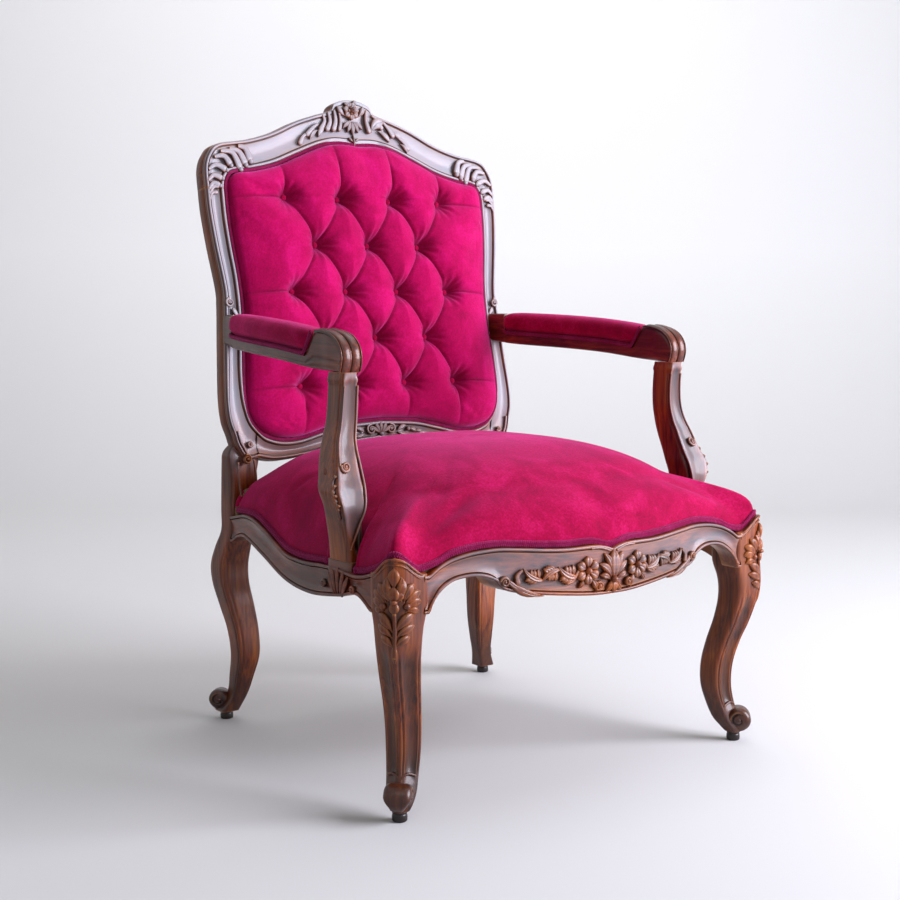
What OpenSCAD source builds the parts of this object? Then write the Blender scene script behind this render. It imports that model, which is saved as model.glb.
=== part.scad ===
// Open-arm upholstered armchair with a carved cabriole frame, a sprung seat and a tufted back.
// Millimetres. +Z is up, the chair faces -Y, and the origin is on the floor under the middle of the chair.
// Left is -X, as seen from the front.

/* [Overall] */
// Height of the crest above the floor
chair_h = 1030; // [1000:5:1060]
// Distance between the centres of the front feet
front_foot_span = 636; // [620:2:652]
// Distance between the centres of the rear feet
rear_foot_span = 534; // [522:2:546]
// Distance from the front feet to the rear feet
foot_depth = 582; // [570:2:594]

/* [Feet] */
// Radius of a turned foot peg
peg_r = 10.5; // [9:0.5:11]
// Height of a foot peg under its foot
peg_h = 14; // [12:1:18]
// Radius of the peg's spigot in the foot
spigot_r = 5; // [4:0.5:6]
// Length of the peg's spigot
spigot_h = 16; // [12:1:18]
// Radius of the scroll at a front foot
front_toe_r = 19.5; // [18:0.5:21]
// How far a front scroll's centre stands out from the peg
front_toe_out = 7.5; // [6:0.5:9]
// Radius of the scroll at a rear foot
rear_toe_r = 18; // [17:0.5:19]
// How far a rear scroll's centre stands out from the peg
rear_toe_out = 10.5; // [9:0.5:12]

/* [Legs] */
// Side of the square block at the top of a front leg
front_block = 58; // [56:1:60]
// How far the carved knee rises over the rails' mean height
knee_rise = 10; // [6:1:16]
// How far a front leg's waist curves inward
front_leg_sweep = 28.4; // [24:0.4:32]
// Side of the square block of a rear leg at the seat
rear_block = 44; // [42:1:46]
// How far the rear leg's block stands in front of its foot
rear_leg_rake = 36; // [32:1:40]
// How far a rear leg's waist curves inward
rear_leg_sweep = 23; // [20:1:26]
// How far a rear leg's neck stands inside the widest part of the back frame
neck_inset = 25; // [22:1:28]
// Radius of the rounded waist between a leg's corners, as the share power of its section
section_power = 5; // [3:1:8]

/* [Seat frame] */
// Mean height of the rails' upper edge
seat_rail_h = 350; // [344:1:356]
// How far the webbing's rebate lies under the rails' mean height
web_drop = 12; // [9:1:14]
// Width of that rebate
band_w = 12; // [11:1:13]
// How far the front rail bows forward at its middle
front_bow = 38; // [30:1:44]
// How far the front rail's face stands back from the leg block's face
rail_setback = 2; // [1:0.5:4]
// Thickness of the front rail at its ends
front_rail_t = 30; // [28:1:34]
// Thickness of a side rail
side_rail_t = 36; // [34:1:38]
// How far a side rail bows outward
side_bow = 4.5; // [2:0.5:6]
// Thickness of the rear rail
rear_rail_t = 24; // [22:1:28]
// Height of the rear rail
rear_rail_h = 50; // [46:1:54]
// Height of the corner blocks
block_h = 14; // [12:1:15]
// Length of a corner block along a rail
corner_leg = 80; // [70:2:90]

/* [Joints] */
// Thickness of the rail tenons
tenon_t = 10; // [8:1:12]
// Length of the rail tenons
tenon_l = 20; // [16:1:22]
// Clearance round a tenon, a dowel or a screw
joint_gap = 0.2; // [0.1:0.05:0.3]
// Radius of the dowels in the crest and at the arm posts
dowel_r = 4; // [3:0.5:5]
// Length of a crest dowel
dowel_l = 40; // [30:1:46]
// Radius of a wood screw's shank
screw_r = 2.2; // [1.8:0.1:2.6]
// Radius of a wood screw's head
screw_head_r = 4.4; // [4:0.1:5]
// Height of a wood screw's head
screw_head_h = 3; // [2:0.5:4]
// Length of a corner block's screw
screw_l = 26; // [20:1:28]

/* [Back] */
// How far over the rails' mean height the plane of the back starts
back_rise = 80; // [76:1:86]
// Rake of the back
back_rake = 8.75; // [7:0.25:10]
// How far the back's face stands in front of the rear feet at its base
back_set = 68.6; // [66:0.2:72]
// Half the width of the back frame at its shoulders
back_half_w = 292; // [286:1:298]
// Thickness of the back frame
back_t = 33; // [30:1:36]
// How far the carved shell and leaves stand proud
carving_t = 5; // [3:0.5:7]
// Width of the rebate that carries the back's webbing
ledge_w = 12; // [10:1:14]
// Depth of that rebate behind the face
ledge_z = 13; // [11:1:15]

/* [Arms] */
// Height of the arm's underside at the front
arm_h = 590; // [584:1:596]
// How much higher the arm's underside is at the back
arm_rise = 27; // [22:1:32]
// Width of an arm's wood
arm_w = 32; // [30:1:34]
// Thickness of an arm's wood under its pad
arm_t = 19; // [17:1:22]
// Height of the knuckle and of the arm's rear block
knuckle_h = 58; // [54:1:60]
// Half the distance between the arm posts' tops
arm_half_span = 309.5; // [304:0.5:314]
// Distance from the front feet back to the top of the arm posts
post_top_set = 148; // [140:1:156]
// Distance from the front feet back to the foot of the arm posts
post_foot_set = 121; // [116:1:126]
// Distance from a side rail's face to the middle of the post's foot
post_foot_in = 15; // [14:0.5:16]
// Half the width of a post at its foot
post_half_w = 14; // [12:0.5:14.5]
// Half the depth of a post at its foot
post_half_d = 27; // [25:0.5:29]
// Length of the tenon under a post
post_tenon_h = 22; // [18:1:24]
// Radius of the round tenon at the top of a post
post_dowel_r = 6; // [5:0.5:7]
// How far the knuckle stands out in front of the post's middle
knuckle_out = 41; // [38:1:44]
// Thickness of the plug over an arm screw
plug_h = 6; // [4:0.5:7]
// Width of an arm pad
pad_w = 50; // [46:1:52]
// Height of an arm pad
pad_h = 38; // [34:1:42]

/* [Upholstery] */
// How far the seat's crown rises over the rails' mean height
seat_crown = 128; // [120:1:134]
// Thickness of the velvet cover with its wadding
cover_t = 5; // [4:0.5:6]
// Distance from the rails' faces to the edge of the velvet
cover_inset = 8; // [6:0.5:10]
// Height of the gimp
gimp_h = 10; // [8:0.5:12]
// Thickness of the gimp
gimp_t = 2.6; // [2:0.2:3]
// Crown of the back pad over the frame's face
back_crown = 34; // [28:1:40]
// Distance between tufts in a row
tuft_pitch = 103; // [98:1:105]
// Distance between rows of tufts
tuft_row = 78; // [74:1:80]
// Thickness of the hessian
hessian_t = 1.2; // [0.8:0.1:1.6]
// Radius of a covered button
button_r = 6; // [4.5:0.5:7]

/* [Springs and webbing] */
// Thickness of the webbing
web_t = 2; // [1.4:0.2:2.4]
// Width of the webbing
web_w = 50; // [44:2:54]
// Distance between the webbing strips
web_pitch = 62.5; // [60:0.5:64]
// Height of a seat spring
spring_h = 77; // [72:1:80]
// Turns in a seat spring
spring_curls = 3; // [2:1:4]
// Radius of a seat spring at its ends
spring_r = 34; // [30:1:38]
// Radius of a seat spring at its waist
spring_waist_r = 22; // [18:1:26]
// Radius of the spring wire
wire_r = 1.9; // [1.6:0.1:2.2]
// Radius of a tack's head
tack_head_r = 4; // [3:0.5:4]
// Thickness of a tack's head
tack_head_h = 1; // [0.6:0.2:1.2]
// Radius of a tack's shank
tack_r = 0.9; // [0.7:0.1:1]
// Length of a tack's shank
tack_l = 11; // [9:1:13]

/* [Hidden] */
$fn = 48;

walnut = "#6B3418";
beech = "#C9A36B";
velvet = "#A8104A";
gimp_colour = "#B0285A";
jute = "#A88B5A";
steel = "#9A9A98";

// How far a cutting shape runs past the surface that it cuts, and the gap that keeps soft things clear
overrun = 1;
seat_gap = 0.3;

// Heights above the floor
knee_h = seat_rail_h + knee_rise;
web_h = seat_rail_h - web_drop;
back_base_h = seat_rail_h + back_rise;
seat_crown_h = seat_rail_h + seat_crown;

// Plan positions, with y = 0 midway between the front and rear feet
front_x = front_foot_span / 2;
rear_x = rear_foot_span / 2;
front_y = -foot_depth / 2;
rear_y = foot_depth / 2;
half_block = front_block / 2;
half_rear = rear_block / 2;
rail_front_y = front_y - half_block + rail_setback;
neck_x = back_half_w - neck_inset;
rear_block_x = neck_x - rear_leg_sweep * 0.22;
rear_block_y = rear_y - rear_leg_rake;

// The box of the chair runs from the bowed rail's carving to the back of the crest
back_len = (chair_h - back_base_h) / cos(back_rake);
back_face_y = rear_y - back_set;
box_front = rail_front_y - front_bow - carving_t;
box_rear = back_face_y + back_len * sin(back_rake) + back_t * cos(back_rake);
centre_shift = -(box_front + box_rear) / 2;

// Curves and tables
function mix(a, b, t) = a + (b - a) * t;
function smooth(t) = let (c = min(max(t, 0), 1)) c * c * (3 - 2 * c);
function through(a, b, c, d, t) =
    b + (c - a) * t / 2 + (2 * a - 5 * b + 4 * c - d) * t * t / 2
    + (3 * b - a - 3 * c + d) * t * t * t / 2;
function curve(points, steps) = let (last = len(points) - 1) [
    for (i = [0 : last - 1], k = [0 : steps - 1])
        through(points[max(i - 1, 0)], points[i], points[i + 1], points[min(i + 2, last)], k / steps),
    points[last]];
function sized(shares, w, h) = [for (p = shares) [p[0] * w, p[1] * h]];
function flipped(points) = [for (i = [len(points) - 1 : -1 : 0]) [-points[i][0], points[i][1]]];
function backwards(points) = [for (i = [len(points) - 1 : -1 : 0]) points[i]];

module placed() {
    translate([0, centre_shift, 0])
        children();
}

module on_side(right) {
    if (right)
        children();
    else
        mirror([1, 0, 0])
            children();
}

// The back's own frame: x across, y up along the rake, z out of the face
module on_back() {
    translate([0, back_face_y, back_base_h])
        rotate([90 - back_rake, 0, 0])
            children();
}

// Skins round a list of rings that run anticlockwise seen from above.
// The quads of the first rings are split along their other diagonal, so nested shells match
function side_faces(rings, n, closed, other) = [
    for (j = [0 : (closed ? rings : rings - 1) - 1], i = [0 : n - 1])
        let (a = j * n + i, b = j * n + (i + 1) % n, up = (j + 1) % rings * n - j * n)
        each j < other ? [[a, a + up, b], [b, a + up, b + up]] : [[a, a + up, b + up], [a, b + up, b]]];

module skin(rings) {
    n = len(rings[0]);
    m = len(rings);
    top = (m - 1) * n;
    polyhedron([for (r = rings) each r], concat(
        side_faces(m, n, false, 0),
        [for (i = [1 : n - 2]) [0, i, i + 1]],
        [for (i = [1 : n - 2]) [top, top + i + 1, top + i]]));
}

module skin_loop(rings) {
    polyhedron([for (r = rings) each r], side_faces(len(rings), len(rings[0]), true, 0));
}

module skin_poles(south, rings, north, other) {
    n = len(rings[0]);
    m = len(rings);
    top = (m - 1) * n;
    polyhedron(concat([for (r = rings) each r], [south, north]), concat(
        side_faces(m, n, false, other),
        [for (i = [0 : n - 1]) [m * n, i, (i + 1) % n]],
        [for (i = [0 : n - 1]) [m * n + 1, top + (i + 1) % n, top + i]]));
}

// A rounded rectangle as a ring of points
ring_points = 16;
function bent(v, power) = sign(v) * pow(abs(v), 2 / power);
function ring(centre, sx, sy, power) = [for (i = [0 : ring_points - 1])
    let (a = 360 * i / ring_points)
    [centre[0] + sx * bent(cos(a), power), centre[1] + sy * bent(sin(a), power), centre[2]]];

// Feet
module foot_peg() {
    cylinder(r = peg_r, h = peg_h);
    translate([0, 0, peg_h - overrun])
        cylinder(r = spigot_r, h = spigot_h + overrun);
}

module at_feet() {
    for (side = [-1, 1]) {
        translate([side * front_x, front_y, 0])
            children();
        translate([side * rear_x, rear_y, 0])
            children();
    }
}

module foot_pegs() {
    color("#3A1C0E")
        placed()
            at_feet()
                foot_peg();
}

module spigot_bore() {
    translate([0, 0, -overrun])
        cylinder(r = spigot_r + joint_gap, h = peg_h + spigot_h + overrun + joint_gap);
}

// Front legs: height as a share of the knee, sweep along the diagonal, half width as a share of the block
front_leg_shares = [[0.039, 0, 0.56], [0.10, -0.43, 0.50], [0.167, -0.76, 0.50], [0.25, -1, 0.60],
    [0.344, -0.96, 0.63], [0.44, -0.65, 0.68], [0.53, -0.23, 0.755], [0.622, 0.08, 0.82],
    [0.70, 0.15, 0.89], [0.79, 0, 0.985], [0.93, 0, 0.985], [0.965, 0, 0.90], [0.99, 0, 0.68],
    [1, 0, 0.38]];
front_block_bottom = knee_h * 0.79;
front_block_top = knee_h * 0.935;

module front_leg_body() {
    rows = curve(front_leg_shares, 2);
    skin([for (r = rows)
        let (out = r[1] * front_leg_sweep * sqrt(0.5), half = r[2] * half_block,
            foot = r[0] * knee_h < peg_h * 1.2 ? peg_h : r[0] * knee_h)
        ring([out, -out, foot], half, half, section_power)]);
    translate([-half_block, -half_block, front_block_bottom])
        cube([front_block, front_block, front_block_top - front_block_bottom]);
    translate([front_toe_out * sqrt(0.5), -front_toe_out * sqrt(0.5), peg_h + front_toe_r])
        sphere(r = front_toe_r);
}

module front_leg_right_shape() {
    difference() {
        translate([front_x, front_y, 0])
            front_leg_body();
        translate([front_x, front_y, 0])
            spigot_bore();
        front_rail_tenons(joint_gap);
        side_rail_front_tenon(joint_gap);
    }
    knee_leaves();
}

// A flower over the knee, with three leaves that hang from it
module knee_leaves() {
    leaf_l = front_block * 0.8;
    leaf_w = front_block * 0.2;
    depth = front_block * 0.1;
    translate([front_x + half_block, front_y - half_block, knee_h * 0.86])
        rotate([0, 0, 45])
            rotate([90, 0, 0])
                translate([0, 0, -depth]) {
                    for (a = [-106, -90, -74])
                        rotate([0, 0, a])
                            leaf(leaf_l, leaf_w, depth + carving_t * 0.2);
                    cylinder(r = leaf_w * 0.6, h = depth + carving_t * 0.2);
                }
}

module front_leg(right) {
    color(walnut)
        placed()
            on_side(right)
                front_leg_right_shape();
}

module front_leg_left() { front_leg(false); }
module front_leg_right() { front_leg(true); }

// A pointed oval leaf, lying along +X
function leaf_outline(l, w) = concat(
    [for (i = [0 : 8]) let (t = i / 8) [l * t, w * sin(180 * pow(t, 0.8)) / 2]],
    [for (i = [7 : -1 : 1]) let (t = i / 8) [l * t, -w * sin(180 * pow(t, 0.8)) / 2]]);

module leaf(l, w, t) {
    linear_extrude(height = t)
        polygon(leaf_outline(l, w));
}

// Rear legs: height as a share of the back's base, offsets in and forward, half widths across and deep
rear_leg_shares = [[0.033, 0, 0, 0.74, 0.74], [0.10, -0.57, -0.36, 0.64, 0.64],
    [0.175, -0.82, -0.52, 0.76, 0.76], [0.256, -1.0, -0.65, 0.89, 0.89],
    [0.35, -0.9, -0.58, 0.97, 0.97], [0.44, -0.62, -0.39, 1.07, 1.07],
    [0.53, -0.31, -0.20, 1.13, 1.13], [0.60, -0.24, -0.18, 1.15, 1.15],
    [0.67, -0.26, -0.50, 1.09, 1.09], [0.74, -0.22, -0.97, 0.97, 0.97],
    [0.82, -0.22, -1.0, 0.97, 0.97], [0.93, -0.26, -1.1, 1.05, 1.02],
    [1.01, -0.39, -1.2, 1.25, 1.0], [1.045, -0.39, -1.28, 1.25, 0.90],
    [1.075, -0.57, -1.33, 0.88, 0.66], [1.115, -0.48, -1.28, 0.62, 0.55]];
rear_block_bottom = seat_rail_h * 0.86;
rear_block_top = seat_rail_h * 1.0074;

// A rear leg runs from its foot to the neck's place, which the back frame sets
function rear_leg_x(share) = (neck_x - rear_x) * smooth((share - 0.3) / 0.33);

module rear_leg_body() {
    rows = curve(rear_leg_shares, 2);
    skin([for (r = rows)
        let (foot = r[0] * back_base_h < peg_h * 1.2 ? peg_h : r[0] * back_base_h)
        ring([rear_leg_x(r[0]) + r[1] * rear_leg_sweep, r[2] * rear_leg_rake, foot],
            r[3] * half_rear, r[4] * half_rear, section_power)]);
    translate([rear_toe_out * sqrt(0.5), rear_toe_out * sqrt(0.5), peg_h + rear_toe_r])
        sphere(r = rear_toe_r);
}

module rear_leg_right_shape() {
    difference() {
        union() {
            translate([rear_x, rear_y, 0])
                rear_leg_body();
            translate([rear_block_x - half_rear, rear_block_y - half_rear, rear_block_bottom])
                cube([rear_block, rear_block, rear_block_top - rear_block_bottom]);
            on_back()
                stile();
        }
        translate([rear_x, rear_y, 0])
            spigot_bore();
        side_rail_rear_tenon(joint_gap);
        rear_rail_tenons(joint_gap);
        on_back() {
            lower_rail_tenon(joint_gap);
            crest_dowel_bores();
            arm_screw_bore();
        }
    }
}

module rear_leg(right) {
    color(walnut)
        placed()
            on_side(right)
                rear_leg_right_shape();
}

module rear_leg_left() { rear_leg(false); }
module rear_leg_right() { rear_leg(true); }

// Outlines of the back frame, right half: shares of its half width and of its length up the rake
crest_joint_share = 0.73;
stile_out_shares = [[0.938, 0.045], [0.955, 0.075], [0.979, 0.115], [0.984, 0.18], [0.966, 0.30],
    [0.945, 0.42], [0.944, 0.47], [0.975, 0.58], [0.994, 0.67], [0.997, 0.73]];
stile_in_shares = [[0.84, 0.115], [0.856, 0.14], [0.863, 0.19], [0.848, 0.28], [0.829, 0.40],
    [0.834, 0.49], [0.853, 0.57], [0.867, 0.65], [0.87, 0.73]];
crest_out_shares = [[0.997, 0.73], [0.995, 0.785], [0.962, 0.825], [0.90, 0.85], [0.72, 0.866],
    [0.56, 0.89], [0.40, 0.925], [0.27, 0.947], [0.15, 0.965], [0.12, 0.985], [0.06, 0.997],
    [0, 1]];
crest_in_shares = [[0.87, 0.73], [0.857, 0.755], [0.815, 0.773], [0.70, 0.78], [0.55, 0.798],
    [0.40, 0.828], [0.25, 0.857], [0.13, 0.869], [0, 0.866]];
lower_top_shares = [[0.815, 0.095], [0.76, 0.073], [0.66, 0.060], [0.54, 0.062], [0.40, 0.078],
    [0.24, 0.094], [0, 0.101]];
lower_bottom_shares = [[0.815, 0.012], [0.72, 0.003], [0.60, 0.005], [0.44, 0.015], [0.24, 0.032],
    [0, 0.042]];

function on_frame(shares) = sized(shares, back_half_w, back_len);
stile_out = curve(on_frame(stile_out_shares), 3);
stile_in = curve(on_frame(stile_in_shares), 3);
crest_out = curve(on_frame(crest_out_shares), 3);
crest_in = curve(on_frame(crest_in_shares), 3);
lower_top = curve(on_frame(lower_top_shares), 3);
lower_bottom = curve(on_frame(lower_bottom_shares), 3);
function but_first(points) = [for (i = [1 : len(points) - 1]) points[i]];
function whole(right) = concat(right, [for (i = [len(right) - 2 : -1 : 1]) [-right[i][0], right[i][1]]]);
foot_corner = [back_half_w * 0.90, back_len * 0.012];
frame_outline = whole(concat(backwards(lower_bottom), [foot_corner], stile_out, but_first(crest_out)));
opening = whole(concat(backwards(lower_top), stile_in, but_first(crest_in)));

// The unit normal that points out of a closed path seen anticlockwise
function plan_normal(path, i) = let (n = len(path), d = path[(i + 1) % n] - path[(i + n - 1) % n],
    l = norm([d[0], d[1]])) [d[1] / l, -d[0] / l];
function grown(path, d) = [for (i = [0 : len(path) - 1]) let (n = plan_normal(path, i))
    [path[i][0] + n[0] * d, path[i][1] + n[1] * d]];

module back_slab(outline, low, high) {
    translate([0, 0, low])
        linear_extrude(height = high - low)
            polygon(outline);
}

module frame_blank() {
    difference() {
        back_slab(frame_outline, -back_t, 0);
        back_slab(opening, -ledge_z, overrun);
        back_slab(grown(opening, -ledge_w), -back_t - overrun, overrun);
    }
}

// Where the frame is cut: at both ends of the lower rail, and across the stiles under the crest
lower_joint_x = back_half_w * 0.815;
lower_joint_s = back_len * 0.13;
crest_joint_s = back_len * crest_joint_share;

module frame_piece(low_x, high_x, low_s, high_s) {
    translate([low_x, low_s, -back_t - overrun])
        cube([high_x - low_x, high_s - low_s, back_t + 2 * overrun]);
}

module stile() {
    far = back_half_w + ledge_w;
    intersection() {
        frame_blank();
        union() {
            frame_piece(lower_joint_x, far, -ledge_w, crest_joint_s);
            frame_piece(lower_joint_x - 2 * ledge_w, far, lower_joint_s, crest_joint_s);
        }
    }
    stile_scroll();
}

// A small raised scroll on the stile just above the arm
module stile_scroll() {
    translate([back_half_w * 0.925, back_len * 0.425, -overrun])
        cylinder(r = back_half_w * 0.03, h = carving_t + overrun);
}

module lower_rail_tenon(gap) {
    depth = tenon_l + gap;
    tall = back_len * 0.05;
    translate([lower_joint_x - overrun, back_len * 0.03 - gap, -back_t / 2 - tenon_t / 2 - gap])
        cube([depth + overrun, tall + 2 * gap, tenon_t + 2 * gap]);
}

// A small carved leaf spray in the middle of the lower rail
module lower_spray() {
    for (side = [0, 1], i = [0, 1])
        mirror([side, 0, 0])
            translate([back_half_w * (0.02 + 0.13 * i), back_len * (0.068 - 0.006 * i), -overrun])
                rotate([0, 0, -8 * i])
                    leaf(back_half_w * 0.11, back_half_w * 0.04, carving_t + overrun);
}

module lower_back_rail() {
    color(walnut)
        placed()
            on_back() {
                intersection() {
                    frame_blank();
                    frame_piece(-lower_joint_x, lower_joint_x, -ledge_w, lower_joint_s);
                }
                for (side = [0, 1])
                    mirror([side, 0, 0])
                        lower_rail_tenon(0);
                lower_spray();
            }
}

module crest_dowel(x, r, half) {
    translate([x, crest_joint_s - half, -back_t / 2])
        rotate([-90, 0, 0])
            cylinder(r = r, h = 2 * half);
}

crest_dowel_xs_shares = [0.905, 0.962];

module crest_dowel_bores() {
    for (x = crest_dowel_xs_shares)
        crest_dowel(x * back_half_w, dowel_r + joint_gap, dowel_l / 2 + overrun);
}

module crest_dowels() {
    color(beech)
        placed()
            on_back()
                for (side = [-1, 1], x = crest_dowel_xs_shares)
                    crest_dowel(side * x * back_half_w, dowel_r, dowel_l / 2);
}

// Leaves that fan over each shoulder
module shoulder_leaves() {
    translate([back_half_w * 0.875, back_len * 0.782, -overrun])
        for (i = [0 : 4])
            rotate([0, 0, 12 + 30 * i])
                translate([back_half_w * 0.02, 0, 0])
                    leaf(back_half_w * mix(0.085, 0.13, i * (4 - i) / 4), back_half_w * 0.04,
                        carving_t + overrun);
}

// The shell in the middle of the crest, with a leaf spray to each side
function scallops(r, lobes) = [for (i = [0 : 6 * lobes - 1]) let (a = 60 * i / lobes)
    r * (0.84 + 0.16 * abs(sin(lobes * a / 2))) * [cos(a), sin(a)]];

module crest_shell() {
    translate([0, back_len * 0.936, -overrun]) {
        linear_extrude(height = carving_t + overrun)
            polygon(scallops(back_half_w * 0.11, 9));
        cylinder(r = back_half_w * 0.05, h = carving_t * 1.4 + overrun);
    }
    for (side = [0, 1])
        mirror([side, 0, 0])
            for (i = [0 : 2])
                translate([back_half_w * (0.17 + 0.11 * i), back_len * (0.914 - 0.02 * i), -overrun])
                    rotate([0, 0, -30 + 16 * (i % 2)])
                        leaf(back_half_w * 0.1, back_half_w * 0.05, carving_t + overrun);
}

module crest_rail() {
    color(walnut)
        placed()
            on_back()
                difference() {
                    union() {
                        intersection() {
                            frame_blank();
                            frame_piece(-back_half_w - ledge_w, back_half_w + ledge_w, crest_joint_s,
                                back_len + ledge_w);
                        }
                        for (side = [0, 1])
                            mirror([side, 0, 0])
                                shoulder_leaves();
                        crest_shell();
                    }
                    crest_dowel_bores();
                    mirror([1, 0, 0])
                        crest_dowel_bores();
                }
}

// Front rail: outline as shares of its half length and of the rail height
rail_half_l = front_x - half_block;
front_top_shares = [[0, 0.983], [0.05, 0.996], [0.12, 1.003], [0.31, 1.003], [0.52, 1.017],
    [0.64, 1.024], [0.77, 1.017], [0.87, 1.0], [0.94, 0.977], [1, 0.946]];
front_bottom_shares = [[0, 0.80], [0.14, 0.803], [0.38, 0.823], [0.55, 0.845], [0.62, 0.866],
    [0.66, 0.90], [0.72, 0.918], [0.79, 0.921], [0.87, 0.911], [0.94, 0.887], [1, 0.834]];
front_top = curve(sized(front_top_shares, rail_half_l, seat_rail_h), 3);
front_bottom = curve(sized(front_bottom_shares, rail_half_l, seat_rail_h), 3);
rail_inner_y = rail_front_y + front_rail_t;
function front_face_y(x) = rail_front_y - front_bow * pow(cos(90 * min(abs(x) / rail_half_l, 1)), 1.6);

module front_rail_tenon(gap) {
    low = seat_rail_h * 0.85;
    translate([rail_half_l - overrun, rail_front_y + front_rail_t / 2 - tenon_t / 2 - gap, low - gap])
        cube([tenon_l + gap + overrun, tenon_t + 2 * gap, seat_rail_h * 0.075 + 2 * gap]);
}

module front_rail_tenons(gap) {
    front_rail_tenon(gap);
    mirror([1, 0, 0])
        front_rail_tenon(gap);
}

module front_seat_rail() {
    plan_steps = 24;
    plan = concat([for (i = [-plan_steps : plan_steps]) let (x = rail_half_l * i / plan_steps)
        [x, front_face_y(x)]], [[rail_half_l, rail_inner_y], [-rail_half_l, rail_inner_y]]);
    fill_h = web_h - seat_rail_h * 0.925;
    color(walnut)
        placed()
            difference() {
                union() {
                    intersection() {
                        linear_extrude(height = 2 * seat_rail_h)
                            polygon(plan);
                        translate([0, rail_inner_y + overrun, 0])
                            rotate([90, 0, 0])
                                linear_extrude(height = front_rail_t + front_bow + 2 * overrun)
                                    polygon(whole(concat(front_bottom, backwards(front_top))));
                    }
                    translate([-rail_half_l, rail_inner_y - band_w, web_h - fill_h])
                        cube([2 * rail_half_l, band_w, fill_h]);
                    front_rail_tenons(0);
                    apron_carving();
                }
                translate([-rail_half_l - overrun, rail_inner_y - band_w, web_h])
                    cube([2 * rail_half_l + 2 * overrun, band_w + overrun, seat_rail_h]);
                tack_holes();
                corner_screw_holes();
            }
}

// Oval cartouche and leaf sprays in the middle of the front rail, raised from its bowed face
module apron_leaf(x, z, angle, l, w) {
    translate([x, front_face_y(x) + carving_t, z])
        rotate([90, 0, 0])
            rotate([0, 0, angle])
                leaf(l, w, 2 * carving_t);
}

module apron_carving() {
    mid_z = seat_rail_h * 0.90;
    for (a = [0 : 45 : 315])
        apron_leaf(0, mid_z, a + 22.5, seat_rail_h * 0.085, seat_rail_h * 0.045);
    for (side = [0, 1])
        mirror([side, 0, 0])
            for (i = [1 : 4])
                apron_leaf(rail_half_l * 0.125 * i, mid_z + seat_rail_h * 0.02 * (i % 2), 25 - 55 * (i % 2),
                    seat_rail_h * 0.10, seat_rail_h * 0.04);
}

// Side rails: outline as shares of the rail's length from front to back and of the rail height
side_front_y = front_y + half_block;
side_rear_y = rear_block_y - half_rear;
side_l = side_rear_y - side_front_y;
side_front_x = front_x + half_block - rail_setback;
side_rear_x = rear_block_x + half_rear;
side_top_shares = [[0, 0.946], [0.05, 0.928], [0.11, 0.92], [0.2, 0.925], [0.30, 0.92], [0.37, 0.911],
    [0.46, 0.906], [0.545, 0.912], [0.63, 0.943], [0.72, 0.983], [0.81, 1.011], [0.88, 1.015],
    [0.95, 1.0], [1, 0.986]];
side_bottom_shares = [[0, 0.80], [0.08, 0.843], [0.19, 0.812], [0.37, 0.781], [0.545, 0.794],
    [0.72, 0.857], [0.87, 0.906], [0.94, 0.90], [1, 0.866]];
side_top = curve(sized(side_top_shares, side_l, seat_rail_h), 3);
side_bottom = curve(sized(side_bottom_shares, side_l, seat_rail_h), 3);
function side_outer_x(y) = let (t = (y - side_front_y) / side_l)
    mix(side_front_x, side_rear_x, t) + side_bow * sin(180 * min(max(t, 0), 1));
function side_inner_x(y) = let (t = (y - side_front_y) / side_l)
    mix(side_front_x, side_rear_x, t) - side_rail_t;

// The arm post stands on a flat place on the side rail
post_y = front_y + post_foot_set;
post_foot_x = side_outer_x(post_y) - post_foot_in;
post_seat_h = seat_rail_h * 0.957;

module side_rail_front_tenon(gap) {
    translate([side_front_x - side_rail_t / 2 - tenon_t / 2 - gap, side_front_y - tenon_l - gap,
            seat_rail_h * 0.855 - gap])
        cube([tenon_t + 2 * gap, tenon_l + gap + overrun, seat_rail_h * 0.06 + 2 * gap]);
}

module side_rail_rear_tenon(gap) {
    translate([side_rear_x - side_rail_t / 2 - tenon_t / 2 - gap, side_rear_y - overrun,
            seat_rail_h * 0.88 - gap])
        cube([tenon_t + 2 * gap, tenon_l + gap + overrun, seat_rail_h * 0.09 + 2 * gap]);
}

module side_plan() {
    steps = 16;
    ys = [for (i = [0 : steps]) side_front_y + side_l * i / steps];
    polygon(concat([for (y = ys) [side_outer_x(y), y]],
        [[side_inner_x(side_rear_y), side_rear_y], [side_inner_x(side_front_y), side_front_y]]));
}

// A straight strip over the rail's inner edge, a little wider than the edge on the inside
module side_strip(from_share, to_share) {
    y1 = side_front_y + side_l * from_share;
    y2 = side_front_y + side_l * to_share;
    polygon([[side_inner_x(y1) + band_w, y1], [side_inner_x(y2) + band_w, y2],
        [side_inner_x(y2) - overrun, y2], [side_inner_x(y1) - overrun, y1]]);
}

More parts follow.
